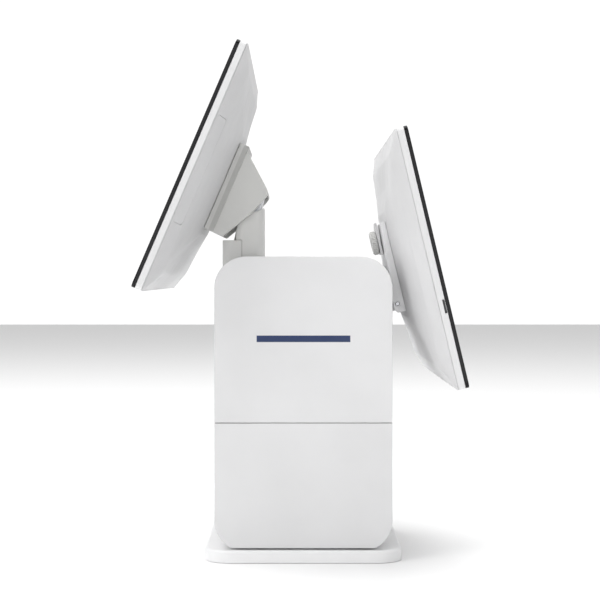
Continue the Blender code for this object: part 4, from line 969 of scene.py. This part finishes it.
def buildWedge():
    front = backCrest + display["gap"]
    side = [(backCrest + rise, -down) for rise, down in wedge["side"]]
    slabTop = (front + wedge["slab"], -wedge["top"])
    outline = [(front, -wedge["top"]), (front, -wedge["foot"])] + side[::-1] + [slabTop]
    rounded = roundedCorners(outline, wedge["radii"])
    half = wedge["half"] - wedge["wedgeIn"]
    cover = prism("main_hinge_cover_fine", rounded, "xz", -half, half, mainPlace)
    soften(cover, wedge["wedgeEdge"], 4, 50)
    rows = []
    for depth, half in ((front, wedge["slabFront"]), (front + wedge["slab"], wedge["half"])):
        loop = roundedLoop((-half, -wedge["foot"]), (half, -wedge["top"]), wedge["slabRound"], 6)
        rows.append([(depth, *p) for p in loop])
    slab = loft("slab", rows, mainPlace)
    soften(slab, wedge["slabEdge"], 3, 50)
    for piece in (cover, slab):
        piece.data.materials.clear()
        piece.data.materials.append(finishes["grey_plastic"])
        piece.data.materials.append(paintedShadeGrey)
    # the slab's faces take the darker grey copy: painted shade on its side
    for face in slab.data.polygons:
        face.material_index = 1
    carve(cover, slab, operation="UNION")
    wall = wedge["wall"]
    inner = [(front - 0.002, -wedge["top"] - wall), (front - 0.002, -wedge["foot"] + wall)]
    for point, inward, upward in wedge["hollow"]:
        inner.append((side[point][0] + wall * inward, side[point][1] + wall * upward))
    half = wedge["half"] - wedge["wedgeIn"] - wall
    hollow = prism("hollow", inner, "xz", -half, half, mainPlace)
    low = (front + wedge["lip"], -wedge["neckSlot"], -wedge["foot"] - 0.01)
    high = (side[1][0] + 0.005, wedge["neckSlot"], side[1][1] - wall)
    carve(cover, hollow, block("neckSlot", low, high, mainPlace))
    smoothShade(cover, 30)
    standFor(cover, "main_hinge_cover")


def buildNeck():
    for node, width in (("neck_column", 0.0003), ("neck_front_cover", 0.0004)):
        standFor(soften(cleanCopy(node), width, 3, 50), node)


buildWedge()
buildNeck()
print("neck ready")

# thumb knob: a lathe-turned body with ribs round its rim
knob = {
    "radius": 0.0120, "thick": 0.0062, "down": 0.0940, "ribs": 36, "ribRadius": 0.0006, "inset": 0.0006,
    "axisRise": 0.0068, "flangeRise": 0.0027, "stud": (0.0030, 0.0018), "dish": 0.0006, "middle": 0.0010,
}


def buildKnob():
    face = backCrest + knob["axisRise"] + knob["flangeRise"] + display["gap"]
    turn = customerPlace @ Matrix.Translation((face, 0, -knob["down"]))
    turn = turn @ Matrix.Rotation(math.pi / 2, 4, "Y")
    inner = knob["radius"] - knob["inset"]
    thick = knob["thick"]
    studRadius, studDepth = knob["stud"]
    dish = knob["dish"]
    # radius and height, from the stud out to the rim and in again to the dished face
    profile = ((studRadius, -studDepth), (studRadius, 0), (inner - 0.0006, 0), (inner, 0.0006),
               (inner, thick - 0.0010), (inner - 0.0003, thick - 0.0004), (inner - 0.0010, thick),
               (inner - 0.0030, thick), (inner - 0.0036, thick - dish), (knob["middle"], thick - dish))
    rows = [[(*p, height) for p in arc((0, 0), radius, 0, 360, 72)[:-1]] for radius, height in profile]
    body = loft("thumb_knob_fine", rows)
    rib = prism("ribShape", arc((0, 0), knob["ribRadius"], 0, 360, 8)[:-1], "xy", 0.0010, thick - 0.0012)
    # the ribs take the lighter grey copy too: painted light
    values = {"Count": knob["ribs"], "Radius": inner, "Piece": rib, "Finish": paintedLightGrey}
    ribs = grow("knobRibs", trees["rim"], values)
    carve(body, ribs, operation="UNION")
    moved(body, turn)
    smoothShade(body, 35)
    standFor(body, "thumb_knob")


buildKnob()
print("knob ready")

# pieces whose CAD shape is right: the same shape with its edges softened
softened = {       # edge width of each
    "customer_arm": 0.0006, "knob_flange": 0.0004, "customer_side_key": 0.0002, "main_power_button": 0.0003,
    "front_upper_cover": 0.0003, "door_release_button": 0.0004, "paper_feed_button": 0.0004,
    "rear_bracket": 0.0003, "tilt_bracket": 0.0003, "hinge_block": 0.0004, "hinge_shaft": 0.0004,
    "customer_hinge_pin": 0.0003, "chassis_wall_left": 0.0003, "chassis_wall_right": 0.0003,
    "chassis_top": 0.0003, "printer_shelf": 0.0003,
    "lan_port": 0.0002, "drawer_port": 0.0002, "usb_port_pair": 0.0002, "dc_inlet": 0.0003,
    "heat_sink": 0.0002, "main_lcd_panel": 0.0005, "customer_lcd_panel": 0.0005, "printer_housing": 0.0002,
    "feed_motor": 0.0006, "neck_post": 0.0002, "platen_shaft": 0.0002, "platen_roller": 0.0003,
}
for node, width in softened.items():
    standFor(soften(cleanCopy(node), width, 2, 44), node)
print("softened copies ready:", len(softened))

# receipt printer's door with a finger groove over its upper edge
groove = {"half": 0.020, "radius": 0.006, "deep": 0.0016, "under": 0.012}


def buildDoor():
    low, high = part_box("printer_door")
    door = cleanCopy("printer_door")
    centre = (low.x - groove["radius"] + groove["deep"], high.z - groove["under"])
    tool = rod("grooveTool", centre, groove["radius"], "xz", -groove["half"], groove["half"], None, 12)
    carve(door, tool)
    standFor(soften(door, 0.0004, 2, 44), "printer_door")


teeth = {"count": 58, "pitch": 0.0015, "size": 0.0007, "tall": 0.0012, "thick": 0.0010, "sunk": 0.0002}


def buildTearBar():
    low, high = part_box("print_head")
    head = cleanCopy("print_head")
    start = -teeth["pitch"] * (teeth["count"] - 1) / 2
    size = teeth["size"]
    tooth = prism("toothShape", [(-size, 0), (size, 0), (0, teeth["tall"])], "yz", 0, teeth["thick"])
    values = {
        "Count": teeth["count"], "Start": (low.x, start, high.z - teeth["sunk"]),
        "Step": (0, teeth["pitch"], 0),
        "Piece": tooth, "Finish": finishes["steel"],
    }
    row = grow("tear_bar_teeth", trees["row"], values)
    settle(row, "terminal_body", "steel")
    standFor(soften(head, 0.0003, 2, 44), "print_head")


chips = {
    "half": 0.0024, "tall": 0.0011, "smallest": (0.5, 0.5, 0.5),
    "motherboard": {"grid": (3, 4), "largest": (1.3, 1.2, 1.0), "seed": 7, "margins": (0.012, 0.026)},
    "io_board": {
        "grid": (4, 9), "largest": (1.2, 1.3, 1.0), "seed": 11, "spread": (0.45, 0.8), "middle": 0.30,
    },
}


def buildChips():
    for node in ("motherboard", "io_board"):
        facts = chips[node]
        low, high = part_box(node)
        half = chips["half"]
        piece = block("chipShape", (-half, -half, 0), (half, half, chips["tall"]))
        if node == "motherboard":       # on the side that looks inwards, clear of the heat sink
            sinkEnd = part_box("heat_sink")[1].x
            span = (high.x - sinkEnd - facts["margins"][0], high.z - low.z - facts["margins"][1])
            middle = Vector(((high.x + sinkEnd) / 2, low.y, (low.z + high.z) / 2))
            turn = Matrix.Translation(middle) @ Matrix.Rotation(math.radians(90), 4, "X")
        else:
            span = ((high.x - low.x) * facts["spread"][0], (high.y - low.y) * facts["spread"][1])
            turn = Matrix.Translation((low.x + (high.x - low.x) * facts["middle"], 0, high.z))
        columns, rows = facts["grid"]
        values = {
            "Width": span[0], "Height": span[1], "Columns": columns, "Rows": rows,
            "Smallest": chips["smallest"], "Largest": facts["largest"], "Seed": facts["seed"],
            "Piece": piece, "Finish": finishes["dark_plastic"],
        }
        field = moved(grow(f"{node}_chips", trees["scatter"], values), turn)
        settle(field, "terminal_body", "dark_plastic")


tongues = {
    "rises": (("usb_port_pair", (0.0037, 0.0117)), ("lan_port", (0.0088,)), ("drawer_port", (0.0080,))),
    "thick": 0.0007, "margin": 0.0034, "start": 0.0135, "end": 0.0020, "edge": 0.0002,
}


def buildPortTongues():
    for node, rises in tongues["rises"]:
        low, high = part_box(node)
        half = (high.y - low.y) / 2 - tongues["margin"]
        middle = (low.y + high.y) / 2
        for index, rise in enumerate(rises):
            start = (high.x - tongues["start"], middle - half, low.z + rise - tongues["thick"])
            end = (high.x - tongues["end"], middle + half, low.z + rise + tongues["thick"])
            tongue = block(f"{node}_tongue{index}", start, end)
            settle(soften(tongue, tongues["edge"], 2), "terminal_body", "dark_plastic")


rearScrews = {
    "across": 0.084, "lowerHeight": 0.1180, "upperHeight": 0.2440, "size": 0.9,
    "bracketAcross": 0.014, "bracketRise": 0.0050, "bracketFace": 0.0023,
}


def buildScrewsOnBody():
    points = []
    for node, height in (("rear_lower_cover", rearScrews["lowerHeight"]),
                         ("rear_upper_cover", rearScrews["upperHeight"])):
        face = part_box(node)[1].x
        points += [((face, side * rearScrews["across"], height), (1, 0, 0)) for side in (-1, 1)]
    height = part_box("rear_bracket")[0].z + rearScrews["bracketRise"]
    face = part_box("rear_upper_cover")[1].x + rearScrews["bracketFace"]
    points += [((face, side * rearScrews["bracketAcross"], height), (1, 0, 0)) for side in (-1, 1)]
    addScrews("rear_screws", "terminal_body", points, rearScrews["size"])


lens = {        # the profile gives radius and rise
    "across": 0.0480, "profile": ((0.0016, -0.0002), (0.0016, 0.0001), (0.00112, 0.0003)),
}


def buildLamp():
    # status lamp beside the feed key
    low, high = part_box("paper_feed_button")
    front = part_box("front_upper_cover")[0].x
    centre = (lens["across"], (low.z + high.z) / 2)
    rows = []
    for radius, out in lens["profile"]:
        rows.append([(front - out, *p) for p in arc(centre, radius, 0, 360, 24)[:-1]])
    lamp = loft("status_lens", rows)
    lamp.data.shade_smooth()
    settle(lamp, "terminal_body", "nylon_gear")


buildDoor()
buildTearBar()
buildChips()
buildPortTongues()
buildScrewsOnBody()
buildLamp()
print("printer and boards ready")
